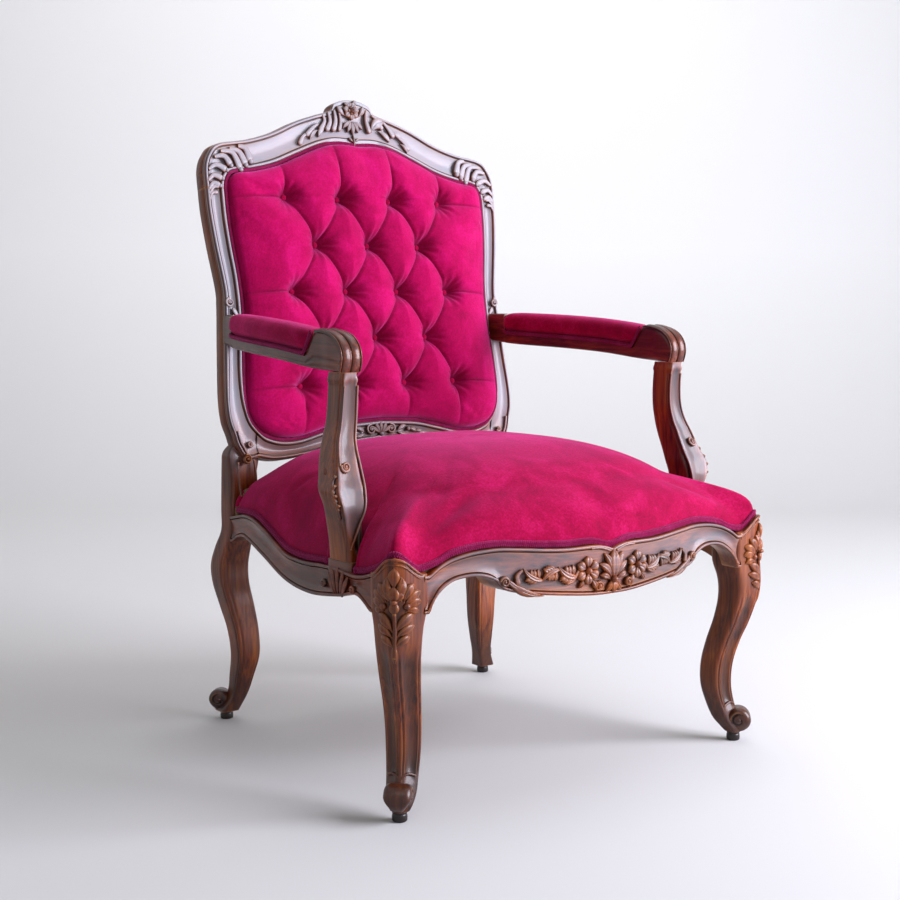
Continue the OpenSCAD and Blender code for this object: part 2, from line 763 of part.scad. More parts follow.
// The rail is cut down to a level rebate at its inner edge, and built up to it where the rail dips
module side_seat_rail_right_shape() {
    rebate_h = web_h + web_t;
    fill_from_h = seat_rail_h * 0.87;
    difference() {
        union() {
            intersection() {
                linear_extrude(height = 2 * seat_rail_h)
                    side_plan();
                translate([side_rear_x, side_front_y, 0])
                    rotate([90, 0, 90])
                        translate([0, 0, -side_rail_t * 2])
                            linear_extrude(height = front_foot_span)
                                polygon(concat(side_bottom, backwards(side_top)));
            }
            intersection() {
                translate([0, 0, fill_from_h])
                    linear_extrude(height = rebate_h - fill_from_h)
                        side_plan();
                translate([0, 0, fill_from_h - overrun])
                    linear_extrude(height = rebate_h - fill_from_h + 2 * overrun)
                        side_strip(-0.01, 0.66);
            }
            intersection() {
                translate([0, 0, fill_from_h])
                    linear_extrude(height = post_seat_h - fill_from_h)
                        side_plan();
                post_block(fill_from_h - overrun, post_seat_h + overrun);
            }
            side_rail_front_tenon(0);
            side_rail_rear_tenon(0);
        }
        translate([0, 0, rebate_h])
            linear_extrude(height = seat_rail_h)
                side_strip(-0.01, 1.01);
        post_block(post_seat_h, rebate_h + overrun);
        post_tenon(joint_gap);
        post_screw(joint_gap);
        tack_holes();
        corner_screw_holes();
    }
}

// The room that a post's foot takes over the rail
module post_block(low, high) {
    translate([post_foot_x - post_half_w * 1.1, post_y - post_half_d * 1.1, low])
        cube([side_rail_t, post_half_d * 2.2, high - low]);
}

module side_seat_rail(right) {
    color(walnut)
        placed()
            on_side(right)
                side_seat_rail_right_shape();
}

module side_seat_rail_left() { side_seat_rail(false); }
module side_seat_rail_right() { side_seat_rail(true); }

// Rear rail
rear_rail_half_l = rear_block_x - half_rear;
rear_rail_y = rear_block_y + half_rear - rail_setback - rear_rail_t;

module rear_rail_tenons(gap) {
    for (side = [0, 1])
        mirror([side, 0, 0])
            translate([rear_rail_half_l - overrun, rear_rail_y + rear_rail_t - tenon_t - tenon_t / 4 - gap,
                    seat_rail_h * 0.88 - gap])
                cube([tenon_l * 0.9 + gap + overrun, tenon_t + 2 * gap, seat_rail_h * 0.09 + 2 * gap]);
}

module rear_seat_rail() {
    color(walnut)
        placed()
            difference() {
                union() {
                    translate([-rear_rail_half_l, rear_rail_y, seat_rail_h - rear_rail_h])
                        cube([2 * rear_rail_half_l, rear_rail_t, rear_rail_h]);
                    rear_rail_tenons(0);
                }
                translate([-rear_rail_half_l - overrun, rear_rail_y - overrun, web_h])
                    cube([2 * rear_rail_half_l + 2 * overrun, band_w + overrun, rear_rail_h]);
                tack_holes();
                corner_screw_holes();
            }
}

// Corner blocks, right half
block_z = web_h - block_h - 5 * seat_gap;

module front_corner_block() {
    leg_x = front_x - half_block;
    y_leg = front_y + half_block;
    y_far = y_leg + corner_leg * 0.8;
    translate([0, 0, block_z])
        linear_extrude(height = block_h)
            polygon([[leg_x - corner_leg, rail_inner_y], [leg_x, rail_inner_y], [leg_x, y_leg],
                [side_inner_x(y_leg), y_leg], [side_inner_x(y_far), y_far]]);
}

module rear_corner_block() {
    leg_x = rear_rail_half_l;
    y_leg = side_rear_y;
    translate([0, 0, block_z])
        linear_extrude(height = block_h)
            polygon([[leg_x - corner_leg * 0.8, rear_rail_y], [leg_x, rear_rail_y], [leg_x, y_leg],
                [side_inner_x(y_leg), y_leg], [side_inner_x(y_leg - corner_leg), y_leg - corner_leg]]);
}

// A wood screw with its point along +X and its head at the origin
module wood_screw(l, gap) {
    rotate([0, 90, 0]) {
        translate([0, 0, gap > 0 ? -corner_leg : 0])
            cylinder(r = screw_head_r + gap, h = screw_head_h + (gap > 0 ? corner_leg : 0));
        cylinder(r = screw_r + gap, h = l + gap);
    }
}

// Where the corner screws go: into the front or rear rail, and into the side rail
module corner_screw_set(gap) {
    z = block_z + block_h / 2;
    front_leg_x = front_x - half_block;
    head_y = rail_inner_y + screw_l * 0.5;
    translate([front_leg_x - corner_leg * 0.35, head_y, z])
        rotate([0, 0, -90])
            wood_screw(screw_l, gap);
    side_y = side_front_y + corner_leg * 0.3;
    translate([side_inner_x(side_y) - screw_l * 0.5, side_y, z])
        wood_screw(screw_l, gap);
    translate([rear_rail_half_l - corner_leg * 0.28, rear_rail_y - screw_l * 0.5, z])
        rotate([0, 0, 90])
            wood_screw(screw_l, gap);
    rear_y_low = side_rear_y - corner_leg * 0.35;
    translate([side_inner_x(rear_y_low) - screw_l * 0.5, rear_y_low, z])
        wood_screw(screw_l, gap);
}

module corner_screw_holes() {
    for (side = [0, 1])
        mirror([side, 0, 0])
            corner_screw_set(joint_gap);
}

module corner_blocks() {
    color(beech)
        placed()
            difference() {
                for (side = [0, 1])
                    mirror([side, 0, 0]) {
                        front_corner_block();
                        rear_corner_block();
                    }
                corner_screw_holes();
            }
}

module corner_block_screws() {
    color(steel)
        placed()
            for (side = [0, 1])
                mirror([side, 0, 0])
                    corner_screw_set(0);
}

// Arm posts: height between the rail and the arm, offset out and back, half widths across and deep.
// A share out above 0 is the post's own belly, and one below 0 its lean to the arm
post_shares = [[0, 0, 0, 1, 1], [0.10, 0.1, 0, 1.04, 1], [0.20, 0.25, 0.04, 1.18, 0.98],
    [0.29, 0.5, -0.12, 1.5, 0.98], [0.375, 0.6, 0.1, 1.71, 1.02], [0.45, 0.4, 0.44, 1.46, 1],
    [0.55, 0, 0.83, 1.25, 0.94], [0.64, -0.43, 1.09, 1.07, 0.83], [0.74, -0.9, 1.15, 1, 0.76],
    [0.87, -1.05, 1.12, 0.93, 0.76], [1, -1, 1, 0.86, 0.80]];
post_belly = post_half_w * 0.83;
function post_x(share) = post_foot_x + share * (share > 0 ? post_belly : post_foot_x - arm_half_span);
post_back = post_top_set - post_foot_set;
post_l = arm_h - post_seat_h;

module post_tenon(gap) {
    across = post_half_w * 0.43 + gap;
    deep = post_half_d * 0.6 + gap;
    translate([post_foot_x - across, post_y - deep, post_seat_h - post_tenon_h - gap])
        cube([2 * across, 2 * deep, post_tenon_h + gap + overrun]);
}

module post_dowel(gap) {
    translate([arm_half_span, front_y + post_top_set, arm_h - overrun - gap])
        cylinder(r = post_dowel_r + gap, h = dowel_l / 2 + overrun + 2 * gap);
}

module post_screw(gap) {
    translate([side_inner_x(post_y), post_y, post_seat_h - post_tenon_h / 2])
        wood_screw(side_rail_t * 0.68, gap);
}

module arm_post_right_shape() {
    rows = curve(post_shares, 2);
    difference() {
        union() {
            skin([for (r = rows)
                ring([post_x(r[1]), post_y + r[2] * post_back, post_seat_h + r[0] * post_l],
                    r[3] * post_half_w, r[4] * post_half_d, section_power)]);
            post_tenon(0);
            post_dowel(0);
        }
        post_screw(joint_gap);
    }
}

module arm_post(right) {
    color(walnut)
        placed()
            on_side(right)
                arm_post_right_shape();
}

module arm_post_left() { arm_post(false); }
module arm_post_right() { arm_post(true); }

module post_screws() {
    color(steel)
        placed()
            for (side = [0, 1])
                mirror([side, 0, 0])
                    post_screw(0);
}

// Where an arm's screw holds it, up the rake. The arm's rear end stands beside the back's gimp there
arm_screw_s = (arm_h + arm_rise + knuckle_h * 0.417 - back_base_h) / cos(back_rake);
arm_rear_x = lookup(arm_screw_s, [for (p = stile_in) [p[1], p[0]]]) + arm_w / 2 + gimp_h * 0.65;

// Arms: centre line as shares of the way from the rear end to the posts' half span, and of the arm's
// length from back to front
arm_rear_y = back_face_y + (arm_h + arm_rise - back_base_h) * tan(back_rake);
arm_front_y = front_y + post_top_set - knuckle_out;
arm_l = arm_rear_y - arm_front_y;
arm_plan_shares = [[-0.12, -0.1], [0, 0], [0.145, 0.077], [0.457, 0.225], [0.768, 0.384],
    [0.986, 0.566], [1.058, 0.748], [1, 0.907], [1, 0.985]];
arm_under_shares = [[-0.1, 1.05], [0, 1], [0.13, 0.8], [0.4, 0.6], [0.59, 0.41], [0.78, 0.12],
    [0.886, 0.03], [0.955, 0]];
knuckle_shares = [[0.955, 0], [0.985, 0.13], [1, 0.36], [0.998, 0.6], [0.975, 0.84], [0.94, 0.96],
    [0.90, 1], [0.80, 0.985]];
pad_from_share = 0.078;
pad_to_share = 0.795;
pad_end_gap_share = 0.002;
arm_line = curve(arm_plan_shares, 3);
arm_under = curve(arm_under_shares, 3);
knuckle = curve(knuckle_shares, 3);
function arm_plan_x(share) = mix(arm_rear_x, arm_half_span, share);
function arm_x(t) = arm_plan_x(lookup(t, [for (p = arm_line) [p[1], p[0]]]));
function arm_y(t) = arm_rear_y - arm_l * t;
function arm_under_z(t) = arm_h + arm_rise * lookup(t, arm_under);

module arm_right_shape() {
    across = arm_w / 2;
    plan = concat(
        [for (p = arm_line) [arm_plan_x(p[0]) - across, arm_y(p[1])]],
        [[arm_half_span - across * 0.6, arm_front_y], [arm_half_span + across * 0.6, arm_front_y]],
        [for (i = [len(arm_line) - 1 : -1 : 0])
            [arm_plan_x(arm_line[i][0]) + across, arm_y(arm_line[i][1])]]);
    seat_steps = 10;
    side = concat(
        [for (p = arm_under) [arm_y(p[0]), arm_h + arm_rise * p[1]]],
        [for (p = knuckle) [arm_y(p[0]), arm_h + knuckle_h * p[1]]],
        [for (i = [0 : seat_steps]) let (t = mix(pad_to_share, pad_from_share, i / seat_steps))
            [arm_y(t), arm_under_z(t) + arm_t]],
        [[arm_y(pad_from_share), arm_under_z(0) + knuckle_h * 0.84],
            [arm_y(-0.1), arm_under_z(0) + knuckle_h * 0.88]]);
    difference() {
        intersection() {
            linear_extrude(height = chair_h)
                polygon(plan);
            rotate([90, 0, 90])
                linear_extrude(height = front_foot_span)
                    polygon(side);
        }
        on_back()
            translate([0, 0, -back_t * 4])
                cube([back_half_w * 2, back_len, back_t * 4]);
        post_dowel(joint_gap);
        on_back()
            arm_screw(joint_gap);
    }
}

module arm(right) {
    color(walnut)
        placed()
            on_side(right)
                arm_right_shape();
}

module arm_left() { arm(false); }
module arm_right() { arm(true); }

// A long screw from behind the stile into the arm, under a wood plug
arm_screw_l = back_t + arm_l * 0.05;

module arm_screw(gap) {
    translate([arm_x(0), arm_screw_s, plug_h - back_t])
        rotate([0, -90, 0])
            wood_screw(arm_screw_l, gap);
}

module arm_screw_bore() {
    arm_screw(joint_gap);
}

module arm_screws() {
    color(steel)
        placed()
            on_back()
                for (side = [0, 1])
                    mirror([side, 0, 0])
                        arm_screw(0);
}

module arm_screw_plugs() {
    color(walnut)
        placed()
            on_back()
                for (side = [-1, 1])
                    translate([side * arm_x(0), arm_screw_s, -back_t])
                        cylinder(r = screw_head_r + joint_gap / 2, h = plug_h - joint_gap);
}

// Arm pads: rings across the arm, drawn in at the wood and rounded at both ends
pad_ring_points = 14;
pad_end_shares = [[0, 0.78], [0.02, 0.90], [0.06, 0.98], [0.2, 1], [0.4, 1], [0.6, 1], [0.8, 1],
    [0.94, 0.98], [0.98, 0.90], [1, 0.78]];

function pad_ring(t, scale) = [for (i = [0 : pad_ring_points - 1])
    let (a = 360 * i / pad_ring_points, up = (1 + bent(sin(a), 3)) / 2,
        draw = mix(0.74, 1, smooth(up * 2.2)))
    [arm_x(t) + pad_w / 2 * scale * draw * bent(cos(a), 2.8), arm_y(t),
        arm_under_z(t) + arm_t + seat_gap + pad_h * mix(1, scale, 0.6) * up]];

module arm_pad_right_shape() {
    skin([for (p = pad_end_shares)
        pad_ring(mix(pad_from_share + pad_end_gap_share, pad_to_share - pad_end_gap_share, p[0]), p[1])]);
}

module arm_pad(right) {
    color(velvet)
        placed()
            on_side(right)
                arm_pad_right_shape();
}

module arm_pad_left() { arm_pad(false); }
module arm_pad_right() { arm_pad(true); }

// A band that follows a closed path seen anticlockwise from above
module band(path, inner, thick, low, high) {
    skin_loop([for (i = [0 : len(path) - 1]) let (n = plan_normal(path, i), p = path[i],
            near = [p[0] + n[0] * inner, p[1] + n[1] * inner],
            far = [near[0] + n[0] * thick, near[1] + n[1] * thick], at = len(p) > 2 ? p[2] : 0)
        [[far[0], far[1], at + low], [near[0], near[1], at + low],
            [near[0], near[1], at + high], [far[0], far[1], at + high]]]);
}

// The gimp runs along both sides of the arm's wood, under the drawn-in pad
module arm_gimp_right() {
    steps = 10;
    from = pad_from_share + 2 * pad_end_gap_share;
    to = pad_to_share - 2 * pad_end_gap_share;
    ts = [for (i = [0 : steps]) mix(from, to, i / steps)];
    for (side = [-1, 1])
        skin([for (t = ts) let (x = arm_x(t) + side * (arm_w / 2 + seat_gap + gimp_t / 2),
                z = arm_under_z(t) + arm_t - gimp_h * 0.7)
            [[x + gimp_t / 2, arm_y(t), z], [x + gimp_t / 2, arm_y(t), z + gimp_h * 0.7],
                [x - gimp_t / 2, arm_y(t), z + gimp_h * 0.7], [x - gimp_t / 2, arm_y(t), z]]]);
}

module arm_gimps() {
    color(gimp_colour)
        placed()
            for (side = [0, 1])
                mirror([side, 0, 0])
                    arm_gimp_right();
}

// Webbing: strips from front to back, then strips from side to side over them
web_mid_y = (rail_inner_y + rear_rail_y) / 2;
web_lap = band_w * 0.72;

module webbing_strips() {
    for (k = [-2 : 2]) {
        translate([k * web_pitch - web_w / 2, rail_inner_y - web_lap, web_h])
            cube([web_w, rear_rail_y - rail_inner_y + 2 * web_lap, web_t]);
        y = web_mid_y + k * web_pitch;
        reach = side_inner_x(y) + web_lap;
        translate([-reach, y - web_w / 2, web_h + web_t])
            cube([2 * reach, web_w, web_t]);
    }
}

module seat_webbing() {
    color(jute)
        placed()
            difference() {
                webbing_strips();
                tack_holes();
            }
}

// A tack with its head up, its point down
module tack() {
    cylinder(r = tack_head_r, h = tack_head_h);
    translate([0, 0, -tack_l])
        cylinder(r = tack_r, h = tack_l);
}

module tack_hole() {
    translate([0, 0, -tack_l - joint_gap])
        cylinder(r = tack_r + joint_gap / 2, h = tack_l + joint_gap + overrun);
}

module at_tacks() {
    from_edge = band_w * 0.4;
    for (k = [-2 : 2], across = [-0.3, 0.3]) {
        x = k * web_pitch + across * web_w;
        for (y = [rail_inner_y - from_edge, rear_rail_y + from_edge])
            translate([x, y, web_h + web_t])
                children();
        y = web_mid_y + k * web_pitch + across * web_w;
        for (side = [-1, 1])
            translate([side * (side_inner_x(y) + from_edge), y, web_h + 2 * web_t])
                children();
    }
}

module tack_holes() {
    at_tacks()
        tack_hole();
}

module webbing_tacks() {
    color(steel)
        placed()
            at_tacks()
                tack();
}

// Coil springs on the crossings of the webbing
spring_rings = 8;
web_top = web_h + 2 * web_t;

module seat_spring() {
    turns = spring_curls * spring_rings;
    low = web_top + wire_r + seat_gap;
    rise = spring_h - 2 * wire_r;
    skin([for (i = [0 : turns]) let (t = i / turns, a = 360 * i / spring_rings,
            r = mix(spring_waist_r, spring_r, pow(abs(2 * t - 1), 1.5)) - wire_r)
        [for (k = [0 : 5]) let (b = 60 * k)
            [(r + wire_r * cos(b)) * cos(a), (r + wire_r * cos(b)) * sin(a),
                low + rise * t - wire_r * sin(b)]]]);
}

module seat_springs() {
    color(steel)
        placed()
            for (i = [-1 : 1], j = [-1 : 1])
                translate([i * 2 * web_pitch, web_mid_y + j * 2 * web_pitch, 0])
                    seat_spring();
}

// Edge of the velvet, right half, from the front middle to the back middle, as [x, y, z]
tack_top = web_top + tack_head_h + seat_gap;
post_edge_x = post_foot_x - post_half_w * 1.05 - gimp_t - 2 * seat_gap;
function front_edge_z(x) = lookup(abs(x), front_top) + seat_gap;
function by_post(y) = smooth((post_half_d * 1.9 - abs(y - post_y)) / (post_half_d * 0.6));
function side_edge_z(y) = mix(lookup(y - side_front_y, side_top), tack_top, by_post(y)) + seat_gap;
function side_edge_x(y) = mix(side_outer_x(y) - cover_inset, post_edge_x, by_post(y));
front_edge_shares = [0, 0.12, 0.26, 0.4, 0.52, 0.64, 0.76, 0.87, 0.95];
knee_edge_shares = [[-0.95, 0.50, 0.974], [-0.55, 0.88, 0.99], [0.16, 1.22, 0.965]];
side_edge_shares = [0.04, 0.08, 0.1, 0.12, 0.18, 0.24, 0.262, 0.285, 0.35, 0.45, 0.56, 0.68, 0.8, 0.92];
rear_edge_shares = [[1.01, -0.30], [0.93, -0.36], [0.0, -0.38], [-0.26, -0.15], [-0.32, 0.6], [-0.7, 1.52]];
rear_middle_shares = [0.55, 0.28, 0];
edge_right = concat(
    [for (t = front_edge_shares) let (x = t * rail_half_l)
        [x, front_face_y(x) + cover_inset, front_edge_z(x)]],
    [for (k = knee_edge_shares) [front_x + k[0] * half_block, front_y + k[1] * half_block, k[2] * knee_h]],
    [for (t = side_edge_shares) let (y = side_front_y + t * side_l) [side_edge_x(y), y, side_edge_z(y)]],
    [for (k = rear_edge_shares) [rear_rail_half_l + k[0] * half_rear * 1.6,
        side_rear_y + k[1] * half_rear, seat_rail_h + seat_gap]],
    [for (t = rear_middle_shares) [t * rear_rail_half_l, rear_rail_y + rear_rail_t - cover_inset,
        seat_rail_h + seat_gap]]);
edge = concat(edge_right, [for (i = [len(edge_right) - 2 : -1 : 1])
    [-edge_right[i][0], edge_right[i][1], edge_right[i][2]]]);

// A dome over the edge: rings drawn in towards the crown, on a squared section
crown_y = -foot_depth * 0.02;
smooth_half_w = (side_front_x + side_rear_x) / 2 - cover_inset;
smooth_half_d = (rear_rail_y + rear_rail_t - rail_front_y) / 2;
function inset_point(p, d) = let (v = [p[0], p[1] - crown_y], l = norm(v))
    [p[0] - v[0] / l * d, p[1] - v[1] / l * d, p[2]];
function smooth_point(p) = let (v = [p[0] / smooth_half_w, (p[1] - crown_y) / smooth_half_d],
    l = pow(pow(abs(v[0]), 4) + pow(abs(v[1]), 4), 0.25)) [p[0] / l, crown_y + (p[1] - crown_y) / l, p[2]];
function crown_power(y) = mix(2.7, 2.1, smooth((y + foot_depth * 0.1) / (foot_depth * 0.45)));
function rise(t, p) = pow(max(1 - pow(1 - t, p), 0), 1 / p);
function dome_point(p, t, d, top, power) = let (
    q = inset_point(p, d), s = inset_point(smooth_point(p), d), k = smooth(t / 0.2),
    x = mix(q[0], s[0], k) * (1 - t), y = crown_y + (mix(q[1], s[1], k) - crown_y) * (1 - t),
    low = mix(q[2], seat_rail_h, k),
    under = crown_share * (seat_crown_h - low) * rise(t, crown_power(p[1])))
    [x, y, low + (power > 0 ? min((top - low) * rise(t, power), under)
        : (top - low) * rise(t, crown_power(p[1])))];
function dome(ts, d, top, power) = [for (t = ts) [for (p = edge) dome_point(p, t, d, top, power)]];

cover_ts_shares = [0, 0.015, 0.05, 0.12, 0.25, 0.45, 0.7];
hessian_ts_shares = [0, 0.01, 0.06, 0.3, 0.42];
hessian_in = cover_t * 1.5;
hessian_power = 8;
crown_share = 0.8;
spring_top = web_top + spring_h + 2 * seat_gap;

module shell(outer, outer_top, inner, inner_top) {
    skin_poles([0, crown_y, inner_top], concat(backwards(inner), outer), [0, crown_y, outer_top],
        len(inner) - 1);
}

module seat_cover() {
    inner_top = seat_crown_h - cover_t;
    color(velvet)
        placed()
            shell(dome(cover_ts_shares, 0, seat_crown_h, 0), seat_crown_h,
                dome(cover_ts_shares, cover_t, inner_top, 0), inner_top);
}

module seat_stuffing() {
    outer_top = seat_crown_h - cover_t - seat_gap;
    inner_top = spring_top + hessian_t + 2 * seat_gap;
    color("#8A7558")
        placed()
            shell(dome(cover_ts_shares, cover_t + seat_gap, outer_top, 0), outer_top,
                dome(hessian_ts_shares, hessian_in - seat_gap, inner_top, hessian_power), inner_top);
}

module seat_hessian() {
    outer_top = spring_top + hessian_t + seat_gap;
    inner_top = outer_top - hessian_t;
    color(jute)
        placed()
            shell(dome(hessian_ts_shares, hessian_in, outer_top, hessian_power), outer_top,
                dome(hessian_ts_shares, hessian_in + hessian_t, inner_top, hessian_power), inner_top);
}

module seat_gimp() {
    color(gimp_colour)
        placed()
            band(edge, seat_gap, gimp_t, 0, gimp_h);
}

// Places on the edge of the back's opening
function thinned(points, step) = [for (i = [0 : step : len(points) - 1]) points[i]];
crest_corner_s = back_len * 0.7735;
lower_corner_s = back_len * 0.18;
opening_side = concat([lower_top[0]], stile_in, [for (p = but_first(crest_in)) if (p[1] < crest_corner_s) p]);
opening_foot = concat(backwards(lower_top), [for (p = stile_in) if (p[1] < lower_corner_s) p]);
function opening_half_w(s) = lookup(s, [for (p = opening_side) [p[1], p[0]]]);
function opening_top(x) = lookup(abs(x), backwards(crest_in));
function opening_low(x) = lookup(abs(x), opening_foot);

// Webbing, hessian and outside cover of the back
back_web_z = seat_gap - ledge_z;
back_hessian_z = back_web_z + web_t + seat_gap;

module back_webbing() {
    lap = ledge_w * 0.7;
    color(jute)
        placed()
            on_back()
                for (k = [-1 : 1]) {
                    x = k * tuft_pitch;
                    low = opening_low(x) + ledge_w - lap;
                    translate([x - web_w / 2, low, back_web_z])
                        cube([web_w, opening_top(x) - ledge_w + lap - low, web_t * 0.4]);
                    s = back_len * (0.46 + 0.17 * k);
                    reach = opening_half_w(s) - ledge_w + lap;
                    translate([-reach, s - web_w / 2, back_web_z + web_t * 0.5])
                        cube([2 * reach, web_w, web_t * 0.4]);
                }
}

module opening_sheet(shrink, low, thick) {
    back_slab(grown(opening, -shrink), low, low + thick);
}

module back_hessian() {
    color(jute)
        placed()
            on_back()
                opening_sheet(joint_gap * 5, back_hessian_z, hessian_t);
}

module outside_back_cover() {
    color(velvet)
        placed()
            on_back()
                opening_sheet(-seat_gap, -back_t - seat_gap - cover_t / 2, cover_t / 2);
}

module outside_back_gimp() {
    color(gimp_colour)
        placed()
            on_back()
                band(thinned(opening, 3), seat_gap * 6, gimp_h * 0.8, -back_t - seat_gap - gimp_t,
                    -back_t - seat_gap);
}

// Tufted pad: puffs between the tufts, a crown that falls to the frame at its edge
pad_back_z = back_hessian_z + hessian_t + seat_gap;
pad_edge_z = ledge_z * 0.15;
tuft_mid = back_len * 0.453;
tuft_rows = [for (k = [-2 : 2]) each [for (m = (k % 2 == 0 ? [-1.5, -0.5, 0.5, 1.5] : [-1, 0, 1]))
    [m * tuft_pitch, tuft_mid + k * tuft_row]]];
tuft_r = tuft_pitch * 0.17;
pad_cols = 32;
pad_rows = 24;
function fold(v) = exp(-pow(sin(180 * v) / 0.4, 2));
function tuft_zone(x, s) = smooth((2.35 - abs(s - tuft_mid) / tuft_row) * 2)
    * smooth((1.8 - abs(x) / tuft_pitch) * 2.5);
function dimple(x, s, i) = i < 0 ? 0 : exp(-(pow(x - tuft_rows[i][0], 2) + pow(s - tuft_rows[i][1], 2))
    / (tuft_r * tuft_r)) + dimple(x, s, i - 1);
function puff(x, s) = let (a = x / tuft_pitch + 0.5, b = (s - tuft_mid) / (2 * tuft_row))
    1 - 0.3 * tuft_zone(x, s) * max(fold(a + b), fold(a - b))
    - 0.6 * min(dimple(x, s, len(tuft_rows) - 1), 1);
function pad_crown(u, v) = pow((1 - pow(abs(u), 7)) * (1 - pow(abs(2 * v - 1), 8)), 0.5);
function pad_half_w(v, tries) = let (w = tries > 0 ? pad_half_w(v, tries - 1) : 0)
    opening_half_w(mix(opening_low(w), opening_top(w), v));
function pad_point(i, j) = let (u = 2 * i / pad_cols - 1, v = j / pad_rows,
    w = pad_half_w(v, 4) - seat_gap * 3, x = u * w,
    s = mix(opening_low(x) + seat_gap * 3, opening_top(x) - seat_gap * 3, v))
    [x, s, pad_edge_z + back_crown * pad_crown(u, v) * puff(x, s)];

module pad_solid() {
    cols = pad_cols + 1;
    front = [for (j = [0 : pad_rows], i = [0 : pad_cols]) pad_point(i, j)];
    rim = concat([for (i = [0 : pad_cols - 1]) i], [for (j = [0 : pad_rows - 1]) j * cols + pad_cols],
        [for (i = [pad_cols : -1 : 1]) pad_rows * cols + i], [for (j = [pad_rows : -1 : 1]) j * cols]);
    count = len(front);
    last = len(rim);
    back = [for (k = rim) [front[k][0], front[k][1], pad_back_z]];
    polyhedron(concat(front, back, [[0, tuft_mid, pad_back_z]]), concat(
        [for (j = [0 : pad_rows - 1], i = [0 : pad_cols - 1]) let (a = j * cols + i)
            each [[a, a + cols, a + cols + 1], [a, a + cols + 1, a + 1]]],
        [for (k = [0 : last - 1]) let (n = (k + 1) % last)
            each [[count + k, rim[k], rim[n]], [count + k, rim[n], count + n]]],
        [for (k = [0 : last - 1]) [count + last, count + k, count + (k + 1) % last]]));
}

button_z = pad_edge_z + back_crown * 0.1;

module back_pad() {
    color(velvet)
        placed()
            on_back()
                difference() {
                    pad_solid();
                    for (p = tuft_rows)
                        translate([p[0], p[1], button_z])
                            cylinder(r = button_r + seat_gap, h = back_crown);
                }
}

module back_buttons() {
    color(velvet)
        placed()
            on_back()
                for (p = tuft_rows)
                    translate([p[0], p[1], button_z + seat_gap]) {
                        cylinder(r = button_r, h = button_r * 0.35);
                        translate([0, 0, button_r * 0.35])
                            cylinder(r1 = button_r, r2 = button_r * 0.5, h = button_r * 0.3);
                    }
}

module back_gimp() {
    color(gimp_colour)
        placed()
            on_back()
                band(thinned(opening, 2), seat_gap * 6, gimp_t * 1.4, seat_gap, gimp_t);
}

foot_pegs();
front_leg_left();
front_leg_right();
rear_leg_left();
rear_leg_right();
front_seat_rail();
side_seat_rail_left();
side_seat_rail_right();
rear_seat_rail();
corner_blocks();
corner_block_screws();
crest_rail();
crest_dowels();
lower_back_rail();
arm_post_left();
arm_post_right();
post_screws();
arm_left();
arm_right();
arm_screws();
arm_screw_plugs();
arm_pad_left();
arm_pad_right();
arm_gimps();
seat_webbing();
webbing_tacks();
seat_springs();
seat_hessian();
seat_stuffing();
seat_cover();
seat_gimp();
back_webbing();
back_hessian();
back_pad();
back_buttons();
back_gimp();
outside_back_cover();
outside_back_gimp();
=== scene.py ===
import math

import bpy
import numpy as np
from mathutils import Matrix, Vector
from mathutils.bvhtree import BVHTree


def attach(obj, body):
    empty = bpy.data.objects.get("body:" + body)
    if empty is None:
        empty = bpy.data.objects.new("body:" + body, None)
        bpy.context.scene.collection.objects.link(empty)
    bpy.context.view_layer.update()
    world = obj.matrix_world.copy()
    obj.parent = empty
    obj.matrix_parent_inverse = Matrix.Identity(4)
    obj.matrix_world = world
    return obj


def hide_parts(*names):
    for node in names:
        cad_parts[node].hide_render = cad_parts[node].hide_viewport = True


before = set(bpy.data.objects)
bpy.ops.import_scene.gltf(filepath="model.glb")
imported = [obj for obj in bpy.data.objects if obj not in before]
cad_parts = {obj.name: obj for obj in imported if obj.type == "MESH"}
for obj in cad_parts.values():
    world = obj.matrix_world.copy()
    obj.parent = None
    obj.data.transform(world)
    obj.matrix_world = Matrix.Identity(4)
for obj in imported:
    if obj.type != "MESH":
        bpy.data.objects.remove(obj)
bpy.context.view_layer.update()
print("stage: frame loaded")

# Sizes in millimetres. y is measured from midway between the front and rear feet, as in part.scad
chair = {
    "height": 1030.0, "frontX": 318.0, "rearX": 267.0, "footDepth": 582.0, "halfBlock": 29.0,
    "halfRear": 22.0,
    "kneeHeight": 360.0, "frontSweep": 28.4, "rearRake": 36.0, "rearSweep": 23.0,
    "pegHeight": 14.0, "railHeight": 350.0, "frontBow": 38.0, "railSetback": 2.0, "frontRailThick": 30.0,
    "sideRailThick": 36.0, "sideBow": 4.5, "webHeight": 338.0, "rebateWidth": 12.0,
    "backBase": 430.0, "backRake": 8.75, "backSet": 68.6, "backHalfWidth": 292.0, "backThick": 33.0,
    "carving": 5.0, "armHeight": 590.0, "armRise": 27.0, "armWidth": 32.0, "armThick": 19.0,
    "knuckleHeight": 58.0, "armHalfSpan": 309.5, "postTopSet": 148.0, "postFootSet": 121.0,
    "postFootIn": 15.0, "postHalfWidth": 14.0, "postHalfDepth": 27.0, "knuckleOut": 41.0,
    "padWidth": 50.0, "padHeight": 38.0, "crownHeight": 478.0, "coverInset": 8.0, "gimpHeight": 10.0,
    "backCrown": 34.0, "tuftPitch": 103.0, "tuftRow": 78.0,
}
frontY = -chair["footDepth"] / 2
rearY = chair["footDepth"] / 2
rake = math.radians(chair["backRake"])
backLength = (chair["height"] - chair["backBase"]) / math.cos(rake)
backFaceY = rearY - chair["backSet"]
railFrontY = frontY - chair["halfBlock"] + chair["railSetback"]
rearBlockX = chair["rearX"] - chair["rearSweep"] * 0.22
rearBlockY = rearY - chair["rearRake"]
boxFront = railFrontY - chair["frontBow"] - chair["carving"]
